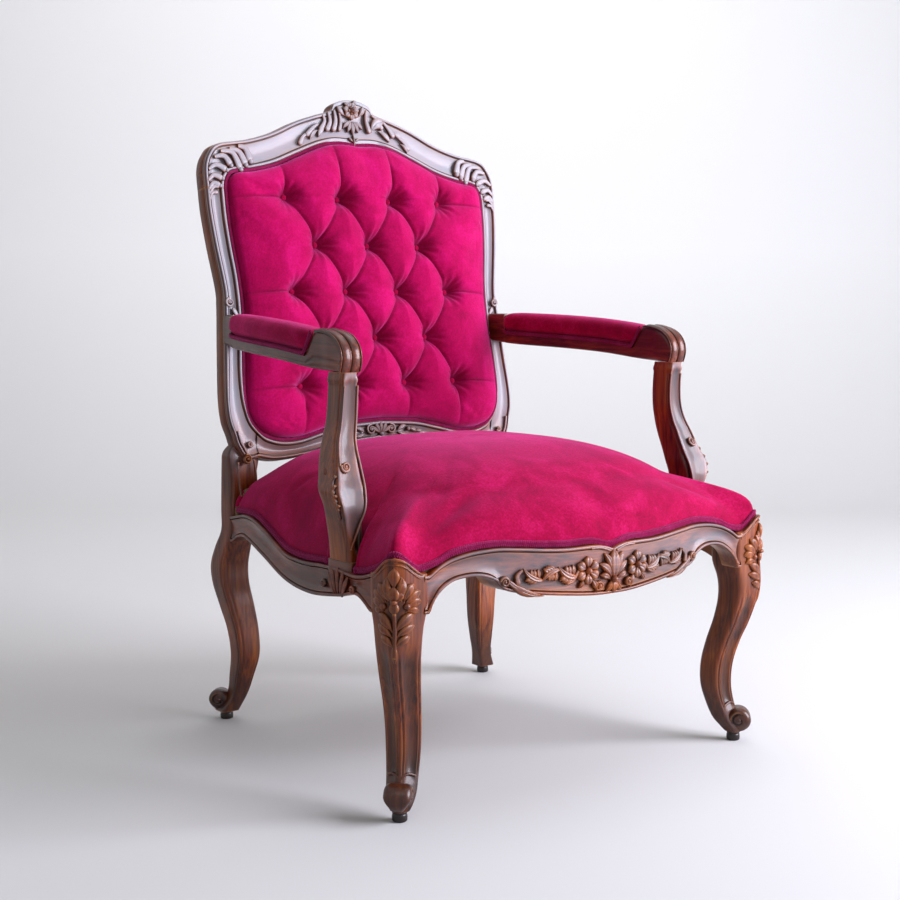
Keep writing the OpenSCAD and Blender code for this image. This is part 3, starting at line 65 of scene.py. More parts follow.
boxRear = backFaceY + backLength * math.sin(rake) + chair["backThick"] * math.cos(rake)
centreShift = -(boxFront + boxRear) / 2


def mix(a, b, t):
    return a + (b - a) * t


def smooth(t):
    c = np.clip(t, 0, 1)
    return c * c * (3 - 2 * c)


# Catmull-Rom through a, b, c, d: b + (c - a) t / 2 + (2a - 5b + 4c - d) t^2 / 2 + (3b - a - 3c + d) t^3 / 2
def curve(points, steps):
    p = np.asarray(points, float)
    last = len(p) - 1
    i = np.arange(last)
    a = p[np.maximum(i - 1, 0)][:, None]
    b = p[i][:, None]
    c = p[i + 1][:, None]
    d = p[np.minimum(i + 2, last)][:, None]
    t = (np.arange(steps) / steps)[None, :, None]
    inner = b + (c - a) * t / 2 + (2 * a - 5 * b + 4 * c - d) * t**2 / 2 + (3 * b - a - 3 * c + d) * t**3 / 2
    return np.vstack([inner.reshape(-1, p.shape[1]), p[-1:]])


# Vectors of length 1
def unit(v):
    return v / np.maximum(np.linalg.norm(v, axis=-1, keepdims=True), 1e-9)


# The second column of a path at values of its first
def readOff(path, at):
    return np.interp(at, path[:, 0], path[:, 1])


# A row of equal steps round a circle
def circleSteps(count):
    return np.linspace(0, 2 * math.pi, count, endpoint=False)[None, :]


# Radius of a rounded square in a direction: (|cos|^n + |sin|^n)^(-1/n)
def squareRadius(c, s, power):
    return (np.abs(c) ** power + np.abs(s) ** power) ** (-1 / power)


# Points at equal steps of arc length along a path
def resample(path, count):
    path = np.asarray(path, float)
    run = np.concatenate([[0], np.cumsum(np.linalg.norm(np.diff(path, axis=0), axis=1))])
    at = np.linspace(0, run[-1], count)
    return np.stack([np.interp(at, run, path[:, k]) for k in range(path.shape[1])], axis=1)


# Equal steps along the curve through some points
def bent(points, count, steps=6):
    return resample(curve(points, steps), count)


# A shape is its points, quads, triangles and how much painted shade each point gets, 0 to 1
def shapeOf(points, quads, tris=None, dirt=None):
    points = np.asarray(points, float).reshape(-1, 3)
    tris = np.zeros((0, 3), int) if tris is None else np.asarray(tris, int)
    dirt = np.zeros(len(points)) if dirt is None else np.asarray(dirt, float).ravel()
    return {"p": points, "q": np.asarray(quads, int).reshape(-1, 4), "t": tris, "d": dirt}


# Turns the faces of a closed shape outward: the sum of p0 . (p1 x p2) over its triangles is made positive
def outward(shape):
    p = shape["p"]
    tri = np.vstack([shape["q"][:, [0, 1, 2]], shape["q"][:, [0, 2, 3]], shape["t"]])
    volume = np.einsum("ij,ij->i", p[tri[:, 0]], np.cross(p[tri[:, 1]], p[tri[:, 2]])).sum()
    if volume < 0:
        shape = dict(shape, q=shape["q"][:, ::-1], t=shape["t"][:, ::-1])
    return shape


# One shape of several
def joined(shapes):
    start = np.cumsum([0] + [len(s["p"]) for s in shapes])
    return {
        "p": np.vstack([s["p"] for s in shapes]),
        "q": np.vstack([s["q"] + k for s, k in zip(shapes, start)]),
        "t": np.vstack([s["t"] + k for s, k in zip(shapes, start)]),
        "d": np.concatenate([s["d"] for s in shapes]),
    }


# The same shape for the other side
def mirrored(shape):
    return dict(shape, p=shape["p"] * [-1, 1, 1], q=shape["q"][:, ::-1], t=shape["t"][:, ::-1])


# Moves a shape drawn in (u, v, height) onto a surface given by a function of those three
def placed(shape, surface):
    p = shape["p"]
    return outward(dict(shape, p=surface(p[:, 0], p[:, 1], p[:, 2])))


# Skin over rings of equal length; the ends get a fan to their middle unless the rings close on themselves
def loft(rings, closed=False, dirt=None):
    rings = np.asarray(rings, float)
    n, m = rings.shape[:2]
    rows = np.arange(n if closed else n - 1)[:, None]
    cols = np.arange(m)[None, :]
    up = (rows + 1) % n * m
    after = (cols + 1) % m
    quads = np.stack([rows * m + cols, rows * m + after, up + after, up + cols], axis=-1)
    points = rings.reshape(-1, 3)
    values = np.zeros(n * m) if dirt is None else np.broadcast_to(dirt, (n, m)).ravel()
    if closed:
        return outward(shapeOf(points, quads, None, values))
    points = np.vstack([points, rings[0].mean(axis=0), rings[-1].mean(axis=0)])
    values = np.concatenate([values, [0, 0]])
    k = np.arange(m)
    first = np.stack([np.full(m, n * m), (k + 1) % m, k], axis=1)
    last = np.stack([np.full(m, n * m + 1), (n - 1) * m + k, (n - 1) * m + (k + 1) % m], axis=1)
    return outward(shapeOf(points, quads, np.vstack([first, last]), values))


# Unit vectors across a path in the plane
def acrossPath(path):
    d = unit(np.gradient(path, axis=0))
    return np.stack([-d[:, 1], d[:, 0]], axis=1)


sinkDepth = 2.0
diagonal = math.sqrt(0.5)


# A half round run along a path: across = half cos(a), height = rise sin(a), with its base under the surface
def ridge(path, half, rise, crease=0.0, sides=9):
    path = np.asarray(path, float)
    side = acrossPath(path)
    a = np.linspace(math.pi, 0, sides)[None, :]
    half = np.broadcast_to(half, len(path))[:, None]
    rise = np.broadcast_to(rise, len(path))[:, None]
    across = half * np.cos(a)
    height = rise * (np.sin(a) ** 0.8 - crease * np.exp(-((np.cos(a) / 0.28) ** 2)))
    across = np.hstack([across, half * 0.9, -half * 0.9])
    height = np.hstack([height, np.full((len(path), 2), -sinkDepth)])
    flat = path[:, None, :] + side[:, None, :] * across[:, :, None]
    # painted shade at the foot of the ridge, where it meets the surface
    dirt = 1 - smooth(height / np.maximum(rise, 0.01) / 0.38)
    return loft(np.concatenate([flat, height[:, :, None]], axis=2), dirt=dirt)


# A carved lobe from start to end: half width = width / 2 sin(pi t^e)^0.75, its spine a parabola of that bend
def lobe(start, end, width, rise, bend=0.0, widest=0.5, crease=0.22, steps=14):
    start = np.asarray(start, float)
    end = np.asarray(end, float)
    t = np.linspace(0, 1, steps)
    d = end - start
    side = np.array([-d[1], d[0]]) / max(np.linalg.norm(d), 1e-9)
    path = start + d * t[:, None] + side * (4 * bend * t * (1 - t))[:, None]
    e = math.log(0.5) / math.log(widest)
    swell = np.sin(math.pi * np.clip(t**e, 0.02, 0.98))
    return ridge(path, width / 2 * np.maximum(swell**0.75, 0.1), rise * np.maximum(swell**0.5, 0.25), crease)


# A curled finger of a leaf along some points: half width = width / 2 (0.42 + 0.58 t^0.8), with a round tip
def finger(points, width, rise):
    path = bent(points, 22, 10)
    t = np.linspace(0, 1, 22)
    end = np.sqrt(np.clip(1 - (np.maximum(t - 0.86, 0) / 0.145) ** 2, 0.04, 1))
    half = width / 2 * (0.42 + 0.58 * t**0.8) * end
    return ridge(path, half, rise * (0.55 + 0.45 * t) * np.maximum(end, 0.5), 0.18)


# A volute: radius r0 (1 - t)^0.9 + r1 over a number of turns, with a round eye
def volute(centre, radius, turns, begin, width, rise, sense=1, eye=0.34, steps=46):
    t = np.linspace(0, 1, steps)
    a = math.radians(begin) + sense * 2 * math.pi * turns * t
    r = radius * mix(eye * 0.8, 1 - width / radius / 2, (1 - t) ** 0.9)
    path = np.asarray(centre) + np.stack([r * np.cos(a), r * np.sin(a)], axis=1)
    return joined([ridge(path, width / 2 * mix(1, 0.7, t), rise * mix(0.8, 1, t), 0, 7),
                   boss(centre, radius * eye, radius * eye, rise * 1.15)])


# An oval dome: height = rise sqrt(1 - r^2)
def boss(centre, rx, ry, rise, rings=7, sides=24):
    a = circleSteps(sides)
    r = np.sin(np.linspace(math.pi / 2, 0.02, rings))[:, None]
    x = centre[0] + rx * r * np.cos(a)
    y = centre[1] + ry * r * np.sin(a)
    h = rise * np.sqrt(1 - r**2)
    base = np.stack([x[0], y[0], np.full(sides, -sinkDepth)], axis=1)[None]
    rows = np.concatenate([base, np.stack(np.broadcast_arrays(x, y, h), axis=2)])
    height = rows[:, :, 2]
    # painted shade at the foot of the dome
    return loft(rows, dirt=1 - smooth(height / rise / 0.5))


# Petals round a boss
def flower(centre, radius, petals, rise, turn=0.0, width=0.75):
    parts = []
    for k in range(petals):
        a = math.radians(turn + 360 * k / petals)
        away = np.array([math.cos(a), math.sin(a)])
        parts.append(lobe(centre + away * radius * 0.15, centre + away * radius, radius * width, rise, 0,
                          0.62, 0.3, 10))
    parts.append(boss(centre, radius * 0.25, radius * 0.25, rise * 1.5))
    return joined(parts)


# Lobes that leave a stem on both sides, like an acanthus leaf
def acanthus(start, end, width, rise, bend=0.0, pairs=3):
    start = np.asarray(start, float)
    end = np.asarray(end, float)
    d = end - start
    long = np.linalg.norm(d)
    side = np.array([-d[1], d[0]]) / long
    parts = [lobe(start, end, width * 0.42, rise * 1.1, bend, 0.45, 0.25)]
    for k in range(pairs):
        t = 0.12 + 0.5 * k / pairs
        root = start + d * t + side * 4 * bend * t * (1 - t)
        reach = long * mix(0.42, 0.26, k / pairs)
        for hand in (-1, 1):
            tip = root + d / long * reach * 0.72 + side * hand * width * mix(0.52, 0.36, k / pairs)
            parts.append(lobe(root, tip, width * 0.3, rise * 0.9, -hand * reach * 0.1, 0.62, 0.2, 10))
    return joined(parts)


# Materials
# A colour in linear light of its hex code
def linear(hexColour):
    rgb = np.array([int(hexColour[i:i + 2], 16) for i in (1, 3, 5)]) / 255
    rgb = np.where(rgb <= 0.04045, rgb / 12.92, ((rgb + 0.055) / 1.055) ** 2.4)
    return (float(rgb[0]), float(rgb[1]), float(rgb[2]), 1.0)


# Adds a node, sets its named inputs and properties, and links other nodes' outputs to its inputs
def addNode(tree, kind, values=None, links=None, **properties):
    node = tree.nodes.new("ShaderNode" + kind)
    for key, value in properties.items():
        setattr(node, key, value)
    for key, value in (values or {}).items():
        node.inputs[key].default_value = value
    for key, (source, output) in (links or {}).items():
        tree.links.new(source.outputs[output], node.inputs[key])
    return node


def newMaterial(name):
    material = bpy.data.materials.new(name)
    material.use_nodes = True
    tree = material.node_tree
    tree.nodes.clear()
    return material, tree


def ramp(tree, source, output, stops):
    node = addNode(tree, "ValToRGB", None, {"Fac": (source, output)})
    elements = node.color_ramp.elements
    elements[0].position, elements[0].color = stops[0][0], linear(stops[0][1])
    elements[1].position, elements[1].color = stops[-1][0], linear(stops[-1][1])
    for position, colour in stops[1:-1]:
        elements.new(position).color = linear(colour)
    return node


walnutLook = {
    "pale": "#AE5C16", "mid": "#82360A", "deep": "#300D03", "groove": "#080302", "rubbed": "#BC7A34",
    "rough": 0.38, "coat": 0.26, "coatRough": 0.15, "grainAcross": 210.0, "grainAlong": 7.0, "toneScale": 6.5,
    "foot": "#120809", "footTop": 0.14, "paintedReflectionAndSheenTint": "#A8ABB6",
}


# Stained walnut under hand-rubbed polish: the eye gets long streaks along the wood, hand-sized patches of
# darker stain, near black in the cuts, where old polish gathers and shade is painted, painted shade at the
# foot of carved parts and towards the feet, a warmer brown where hands have thinned the stain on the edges, a
# painted pale reflection of the front lamp on the faces that look forward, and a soft gloss
def walnut(name, along, look=walnutLook):
    material, tree = newMaterial(name)
    where = addNode(tree, "TexCoord")
    scale = [look["grainAcross"]] * 3
    scale[along] = look["grainAlong"]
    stretched = addNode(tree, "Mapping", {"Scale": scale}, {"Vector": (where, "Object")})
    streaks = addNode(tree, "TexNoise", {"Scale": 1.0, "Detail": 6.0, "Roughness": 0.62, "Distortion": 0.5},
                      {"Vector": (stretched, "Vector")})
    broad = [look["grainAcross"] / 9] * 3
    broad[along] = look["grainAlong"] / 2
    wide = addNode(tree, "Mapping", {"Scale": broad}, {"Vector": (where, "Object")})
    figure = addNode(tree, "TexNoise", {"Scale": 1.0, "Detail": 3.0, "Roughness": 0.5, "Distortion": 1.2},
                     {"Vector": (wide, "Vector")})
    both = addNode(tree, "Mix", {0: 0.45}, {2: (streaks, "Fac"), 3: (figure, "Fac")})
    base = ramp(tree, both, 0, [(0.37, look["deep"]), (0.5, look["mid"]), (0.64, look["pale"])])
    cavity = addNode(tree, "Attribute", attribute_name="cavity")
    # painted shade stored per point: at the foot of carved parts, in grooves, flutes and cuts
    dirt = addNode(tree, "Attribute", attribute_name="dirt")
    # darker in concave hollows: old polish gathered there, and painted shade
    hollow = addNode(tree, "MapRange", {"From Min": 0.02, "From Max": 0.34, "To Max": 0.92},
                     {"Value": (cavity, "Fac")})
    # settled: the share of painted shade from the per-point shade attribute
    settled = addNode(tree, "Math", {1: 0.85}, {0: (dirt, "Fac")}, operation="MULTIPLY")
    darkest = addNode(tree, "Math", None, {0: (hollow, "Result"), 1: (settled, "Value")}, operation="MAXIMUM")
    worn = addNode(tree, "MapRange", {"From Min": -0.10, "From Max": -0.40, "To Max": 0.55},
                   {"Value": (cavity, "Fac")})
    tone = addNode(tree, "TexNoise", {"Scale": look["toneScale"], "Detail": 2.0},
                   {"Vector": (where, "Object")})
    toned = addNode(tree, "MapRange", {"From Min": 0.36, "From Max": 0.66, "To Max": 0.62},
                    {"Value": (tone, "Fac")})
    patched = addNode(tree, "Mix", {7: linear(look["deep"])}, {0: (toned, "Result"), 6: (base, "Color")},
                      data_type="RGBA")
    # painted shade near the floor: below footTop the wood turns towards the near-black foot colour
    place = addNode(tree, "SeparateXYZ", None, {"Vector": (where, "Object")})
    low = addNode(tree, "MapRange",
                  {"From Min": 0.05, "From Max": look["footTop"], "To Min": 0.75, "To Max": 0.0},
                  {"Value": (place, "Z")})
    footed = addNode(tree, "Mix", {7: linear(look["foot"])}, {0: (low, "Result"), 6: (patched, 2)},
                     data_type="RGBA")
    # painted reflection: a pale bluish grey on faces turned to the front lamp stands in for its reflection in
    # the gloss
    paintedReflectionShare = addNode(tree, "Attribute", attribute_name="paintedReflectionAndSheenTint")
    paintedReflectionMixed = addNode(tree, "Mix", {7: linear(look["paintedReflectionAndSheenTint"])}, {0: (paintedReflectionShare, "Fac"), 6: (footed, 2)},
                    data_type="RGBA")
    rubbed = addNode(tree, "Mix", {7: linear(look["rubbed"])},
                     {0: (worn, "Result"), 6: (paintedReflectionMixed, 2)}, data_type="RGBA")
    # the near-black groove colour goes where the hollows and the painted shade are darkest
    hollowsAndPaintedShade = addNode(tree, "Mix", {7: linear(look["groove"])},
                      {0: (darkest, "Value"), 6: (rubbed, 2)}, data_type="RGBA")
    pores = addNode(tree, "Bump", {"Strength": 0.10, "Distance": 0.0004}, {"Height": (streaks, "Fac")})
    handled = addNode(tree, "TexNoise", {"Scale": 26.0, "Detail": 3.0}, {"Vector": (where, "Object")})
    rough = addNode(tree, "MapRange", {"To Min": look["rough"] - 0.07, "To Max": look["rough"] + 0.12},
                    {"Value": (handled, "Fac")})
    dull = addNode(tree, "Math", {1: 0.16}, {0: (paintedReflectionShare, "Fac"), 2: (rough, "Result")},
                   operation="MULTIPLY_ADD")
    shader = addNode(tree, "BsdfPrincipled",
                     {"Coat Weight": look["coat"], "Coat Roughness": look["coatRough"],
                      "Specular IOR Level": 0.34},
                     {"Base Color": (hollowsAndPaintedShade, 2), "Roughness": (dull, "Value"), "Normal": (pores, "Normal")})
    addNode(tree, "OutputMaterial", None, {"Surface": (shader, "BSDF")})
    return material


# Cotton velvet with a cut pile, paler where the nap stands up to the light and deeper where it lies down:
# the eye gets painted shade of deep crimson in the folds and button dimples, a pink sheen where the pile is
# seen on edge, cloudy patches where hands brushed it, and a fine grain of fibre ends, drawn coarser than real
# so that it shows
def velvetMaterial(name, deep, mid, lit, paintedReflectionAndSheenTint, sheen):
    material, tree = newMaterial(name)
    where = addNode(tree, "TexCoord")
    brushed = addNode(tree, "TexNoise", {"Scale": 16.0, "Detail": 4.0, "Roughness": 0.62, "Distortion": 0.8},
                      {"Vector": (where, "Object")})
    fibre = addNode(tree, "TexNoise", {"Scale": 1500.0, "Detail": 2.0, "Roughness": 0.7},
                    {"Vector": (where, "Object")})
    wale = addNode(tree, "TexNoise", {"Scale": 320.0, "Detail": 3.0, "Roughness": 0.6},
                   {"Vector": (where, "Object")})
    cloud = addNode(tree, "Mix", {0: 0.4}, {2: (brushed, "Fac"), 3: (wale, "Fac")})
    base = ramp(tree, cloud, 0, [(0.22, deep), (0.5, mid), (0.78, lit)])
    # painted shade: concave folds turn towards a deep crimson
    cavity = addNode(tree, "Attribute", attribute_name="cavity")
    fold = addNode(tree, "MapRange", {"From Min": 0.02, "From Max": 0.4, "To Max": 0.75},
                   {"Value": (cavity, "Fac")})
    # painted shade stored per point, in the pad's folds and button dimples, also turns the velvet deep
    # crimson
    dirt = addNode(tree, "Attribute", attribute_name="dirt")
    paintedShadeShare = addNode(tree, "Math", {1: 0.7}, {0: (dirt, "Fac")}, operation="MULTIPLY")
    deepest = addNode(tree, "Math", None, {0: (fold, "Result"), 1: (paintedShadeShare, "Value")}, operation="MAXIMUM")
    shaded = addNode(tree, "Mix", {7: linear("#3C0010")}, {0: (deepest, "Value"), 6: (base, "Color")},
                     data_type="RGBA")
    pile = addNode(tree, "Bump", {"Strength": 0.35, "Distance": 0.0006}, {"Height": (fibre, "Fac")})
    nap = addNode(tree, "Bump", {"Strength": 0.22, "Distance": 0.0012},
                  {"Height": (wale, "Fac"), "Normal": (pile, "Normal")})
    shader = addNode(tree, "BsdfPrincipled",
                     {"Roughness": 0.86, "Specular IOR Level": 0.08, "Sheen Weight": sheen,
                      "Sheen Roughness": 0.42,
                      "Sheen Tint": linear(paintedReflectionAndSheenTint)},
                     {"Base Color": (shaded, 2), "Normal": (nap, "Normal")})
    addNode(tree, "OutputMaterial", None, {"Surface": (shader, "BSDF")})
    return material


# A plain matt or bright finish with a fine noise, for what is seldom seen: the eye gets an even surface
# with small uneven patches
def plainMaterial(name, dark, pale, rough, metal=0.0, grain=90.0, bump=0.25, depth=0.0006):
    material, tree = newMaterial(name)
    where = addNode(tree, "TexCoord")
    patch = addNode(tree, "TexNoise", {"Scale": grain, "Detail": 5.0, "Roughness": 0.6},
                    {"Vector": (where, "Object")})
    base = ramp(tree, patch, "Fac", [(0.35, dark), (0.65, pale)])
    relief = addNode(tree, "Bump", {"Strength": bump, "Distance": depth}, {"Height": (patch, "Fac")})
    gloss = addNode(tree, "MapRange", {"To Min": rough - 0.06, "To Max": rough + 0.08},
                    {"Value": (patch, "Fac")})
    shader = addNode(tree, "BsdfPrincipled", {"Metallic": metal},
                     {"Base Color": (base, "Color"), "Roughness": (gloss, "Result"),
                      "Normal": (relief, "Normal")})
    addNode(tree, "OutputMaterial", None, {"Surface": (shader, "BSDF")})
    return material


# Plain-woven jute: two crossed waves of thread, so the eye gets a coarse basket weave with slubs. A band is
# drawn about six threads wide, so that it shows
def juteMaterial(name, dark, pale, threadMm):
    material, tree = newMaterial(name)
    where = addNode(tree, "TexCoord")
    scale = 50 / threadMm
    warp = addNode(tree, "TexWave", {"Scale": scale, "Distortion": 1.2, "Detail": 1.0},
                   {"Vector": (where, "Object")}, bands_direction="X")
    weft = addNode(tree, "TexWave", {"Scale": scale, "Distortion": 1.2, "Detail": 1.0},
                   {"Vector": (where, "Object")}, bands_direction="Y")
    weave = addNode(tree, "Math", None, {0: (warp, "Fac"), 1: (weft, "Fac")}, operation="MULTIPLY")
    base = ramp(tree, weave, "Value", [(0.05, dark), (0.7, pale)])
    relief = addNode(tree, "Bump", {"Strength": 0.6, "Distance": 0.0008}, {"Height": (weave, "Value")})
    shader = addNode(tree, "BsdfPrincipled", {"Roughness": 0.9, "Specular IOR Level": 0.2},
                     {"Base Color": (base, "Color"), "Normal": (relief, "Normal")})
    addNode(tree, "OutputMaterial", None, {"Surface": (shader, "BSDF")})
    return material


walnutUp = walnut("walnutStainedGrainUpright", 2)
walnutAcross = walnut("walnutStainedGrainAcross", 0)
walnutDeep = walnut("walnutStainedGrainFrontToBack", 1,
                    dict(walnutLook, pale="#8A3A16", mid="#5E200C", deep="#260804", rubbed="#A05E2C",
                         coat=0.36))
pegWood = walnut("pegWalnutTurned", 2,
                 dict(walnutLook, pale="#3A2014", mid="#28140C", deep="#180B07", coat=0.2))
# Two copies of one velvet: the paler, with more sheen, for the back pad and the outside back, and a darker
# one, painted darker as shade and with less sheen, for the seat, arm pads and buttons
velvet = velvetMaterial("velvetCottonNapUpPaintedPaler", "#74002C", "#AC004E", "#CC1070", "#FF78D4", 0.7)
velvetPaintedDarker = velvetMaterial("velvetCottonNapDownPaintedDarker", "#5E001E", "#9C003A", "#CC1A66", "#FF6CBE", 0.44)
braid = velvetMaterial("gimpBraidedCotton", "#600A2C", "#861848", "#A03468", "#FF88CC", 0.5)
beech = plainMaterial("beechPlaned", "#A98250", "#CBA672", 0.55, 0.0, 60.0)
steel = plainMaterial("steelBright", "#77777A", "#B4B4B6", 0.34, 1.0, 240.0, 0.1)
hair = plainMaterial("stuffingHairMatted", "#4E4030", "#8A7558", 0.95, 0.0, 420.0, 0.8, 0.0012)
webbing = juteMaterial("webbingJuteWoven", "#6A5230", "#B49A66", 2.4)
hessian = juteMaterial("hessianJuteWoven", "#7A623C", "#B9A274", 1.4)
print("stage: materials made")


# Makes a mesh object of a shape in millimetres, with how hollow each point is stored as cavity: the mean
# of (neighbour - point) . normal / distance over the point's edges
def addPiece(name, shape, material, node, sharp=42.0, paintedReflectionAndSheenTint=None, scale=0.001):
    mesh = bpy.data.meshes.new(name)
    points = (shape["p"] + [0, centreShift, 0]) * scale
    loops = np.concatenate([shape["q"].ravel(), shape["t"].ravel()]).astype(np.int32)
    quadCount = len(shape["q"])
    starts = np.concatenate([np.arange(quadCount) * 4, quadCount * 4 + np.arange(len(shape["t"])) * 3])
    mesh.vertices.add(len(points))
    mesh.vertices.foreach_set("co", points.astype(np.float32).ravel())
    mesh.loops.add(len(loops))
    mesh.loops.foreach_set("vertex_index", loops)
    mesh.polygons.add(len(starts))
    mesh.polygons.foreach_set("loop_start", starts.astype(np.int32))
    mesh.polygons.foreach_set("use_smooth", np.ones(len(starts), bool))
    mesh.update(calc_edges=True)
    mesh.validate()
    mesh.set_sharp_from_angle(angle=math.radians(sharp))
    count = len(mesh.vertices)
    edges = np.zeros(len(mesh.edges) * 2, np.int32)
    mesh.edges.foreach_get("vertices", edges)
    edges = edges.reshape(-1, 2)
    normals = np.zeros(count * 3, np.float32)
    mesh.vertices.foreach_get("normal", normals)
    normals = normals.reshape(-1, 3)
    gap = unit(points[edges[:, 1]] - points[edges[:, 0]])
    total = np.bincount(edges[:, 0], np.einsum("ij,ij->i", gap, normals[edges[:, 0]]), count)
    total += np.bincount(edges[:, 1], np.einsum("ij,ij->i", -gap, normals[edges[:, 1]]), count)
    ends = np.bincount(edges.ravel(), minlength=count)
    mesh.attributes.new("cavity", "FLOAT", "POINT").data.foreach_set(
        "value", (total / np.maximum(ends, 1)).astype(np.float32))
    # painted shade, stored per point for the materials to darken
    mesh.attributes.new("dirt", "FLOAT", "POINT").data.foreach_set("value", shape["d"].astype(np.float32))
    # painted reflection: a pale share on faces turned to the front lamp, from a height up
    if paintedReflectionAndSheenTint:
        facing = smooth((-0.97 * normals[:, 1] + 0.2 * normals[:, 2] - paintedReflectionAndSheenTint["from"]) / 0.4)
        amount = paintedReflectionAndSheenTint["share"] * facing * smooth((points[:, 2] / scale - paintedReflectionAndSheenTint["low"]) / paintedReflectionAndSheenTint["fade"])
        mesh.attributes.new("paintedReflectionAndSheenTint", "FLOAT", "POINT").data.foreach_set("value", amount.astype(np.float32))
    mesh.materials.append(material)
    piece = bpy.data.objects.new(name, mesh)
    bpy.context.scene.collection.objects.link(piece)
    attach(piece, "root")
    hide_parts(node)
    return piece


# Where a pale reflection of the front lamp is painted on the wood: on forward faces, from a height up
backPaintedReflection = {"from": 0.42, "share": 0.72, "low": 395.0, "fade": 140.0}
railPaintedReflection = {"from": 0.6, "share": 0.26, "low": 285.0, "fade": 40.0}
postPaintedReflection = {"from": 0.6, "share": 0.34, "low": 350.0, "fade": 60.0}


# Both sides of a piece made for the right
def addPair(stem, shape, material, sharp=42.0, paintedReflectionAndSheenTint=None):
    return [addPiece(stem + "Left", mirrored(shape), material, nodeName(stem, "left"), sharp, paintedReflectionAndSheenTint),
            addPiece(stem + "Right", shape, material, nodeName(stem, "right"), sharp, paintedReflectionAndSheenTint)]


# frontLeg and left give front_leg_left
def nodeName(stem, side):
    return "".join("_" + c.lower() if c.isupper() else c for c in stem) + "_" + side


# A ring of a rounded square at equal steps of angle, with its normals
def roundedSquare(sides, power):
    a = circleSteps(sides)
    power = np.asarray(power, float).reshape(-1, 1)
    c = np.cos(a)
    s = np.sin(a)
    r = squareRadius(c, s, power)
    x = c * r
    y = s * r
    nx = np.sign(x) * np.abs(x) ** (power - 1)
    ny = np.sign(y) * np.abs(y) ** (power - 1)
    size = np.sqrt(nx**2 + ny**2)
    return x, y, nx / size, ny / size


# Rings of a rounded square about a line of centres, pushed out by a relief along their normals
def squareRings(centres, halfX, halfY, power, relief=None, sides=144):
    x, y, nx, ny = roundedSquare(sides, np.broadcast_to(power, len(centres)))
    push = np.zeros_like(x) if relief is None else relief(x, y, nx, ny)
    halfX = np.asarray(halfX, float).reshape(-1, 1)
    halfY = np.asarray(halfY, float).reshape(-1, 1)
    px = centres[:, :1] + halfX * x + nx * push
    py = centres[:, 1:2] + halfY * y + ny * push
    pz = np.broadcast_to(centres[:, 2:], px.shape)
    # painted shade where the relief is pushed in: flutes and incised lines
    return np.stack([px, py, pz], axis=2), 0.7 * smooth(-push / 3.0)


def squareLoft(centres, halfX, halfY, power, relief=None, sides=144):
    rings, dirt = squareRings(centres, halfX, halfY, power, relief, sides)
    return loft(rings, dirt=dirt)


# A rolled scroll: a short cylinder with rounded rims that narrows downward, whose flat ends carry a spiral
# cut 2.2 exp(-(phase / 0.16)^2) deep, phase = angle / 2 pi - radius / pitch
def scrollRoll(centre, axis, radius, width, pitch, rim=9.0):
    axis = unit(np.asarray(axis, float))
    up = np.array([0, 0, 1.0])
    first = unit(np.cross(up, axis))
    faceR = np.linspace(0.5, radius - rim, 22)
    turn = np.linspace(0, math.pi / 2, 6)[1:]
    half = width / 2
    r = np.concatenate([faceR, radius - rim + rim * np.sin(turn)])
    a = np.concatenate([np.full(22, half), half - rim + rim * np.cos(turn)])
    cut = np.concatenate([np.ones(22), np.zeros(5)])
    r = np.concatenate([r, r[::-1]])[:, None]
    a = np.concatenate([a, -a[::-1]])[:, None]
    cut = np.concatenate([cut, -cut[::-1]])[:, None]
    angle = circleSteps(72)
    phase = angle / (2 * math.pi) - r / pitch
    phase = phase - np.round(phase)
    groove = np.exp(-((phase / 0.16) ** 2)) * smooth((r - 3) / 2)
    a = a - cut * 2.2 * groove + cut * 1.6 * np.exp(-((r / 3.4) ** 2))
    # painted shade in the spiral cut
    dirt = np.abs(cut) * groove
    taper = mix(0.42, 1, smooth((r * np.sin(angle) / radius + 1.05) / 1.3))
    a = a * taper
    forward = (r * np.cos(angle))[:, :, None]
    rise = (r * np.sin(angle))[:, :, None]
    p = np.asarray(centre) + axis * a[:, :, None] + first * forward + up * rise
    return loft(p, dirt=dirt)


# The scroll of a foot, turned out to the corner; forward is -1 for a front foot and 1 for a rear one
def toeScroll(look, x, y, forward, pitch):
    out = look["toeOut"] * diagonal
    centre = [x + out, y + forward * out, chair["pegHeight"] + look["toeRadius"]]
    side = [diagonal, -forward * diagonal, 0]
    return scrollRoll(centre, side, look["toeRadius"], look["toeWidth"], pitch)


# The back's plane: x across, s up the rake, n out of the face
def onBack(x, s, n):
    y = backFaceY + s * math.sin(rake) - n * math.cos(rake)
    z = chair["backBase"] + s * math.cos(rake) + n * math.sin(rake)
    return np.stack(np.broadcast_arrays(x, y, z), axis=-1)


# Front legs
frontLegLook = {
    "rows": [[0.039, 0, 0.37], [0.06, -0.12, 0.48], [0.10, -0.43, 0.58], [0.167, -0.76, 0.62],
             [0.25, -1, 0.67], [0.344, -0.96, 0.70], [0.44, -0.65, 0.735], [0.53, -0.23, 0.785],
             [0.622, 0.08, 0.84], [0.70, 0.15, 0.90], [0.79, 0, 0.985], [0.86, 0, 1.0]],
    "fluteDepth": 3.8, "lineDepth": 1.7, "toeRadius": 19.5, "toeOut": 7.5, "toeWidth": 38.0, "corner": 4.5,
    "peak": 359.0, "valley": 335.0, "archReach": 46.0,
}
legRows = curve(frontLegLook["rows"], 10)
legZ = legRows[:, 0] * chair["kneeHeight"]
legOut = legRows[:, 1] * chair["frontSweep"] * diagonal
legHalf = legRows[:, 2] * chair["halfBlock"]
legCentres = np.stack([chair["frontX"] + legOut, frontY - legOut, legZ], axis=1)
legPower = mix(5, 8, smooth((legZ - 262) / 30))


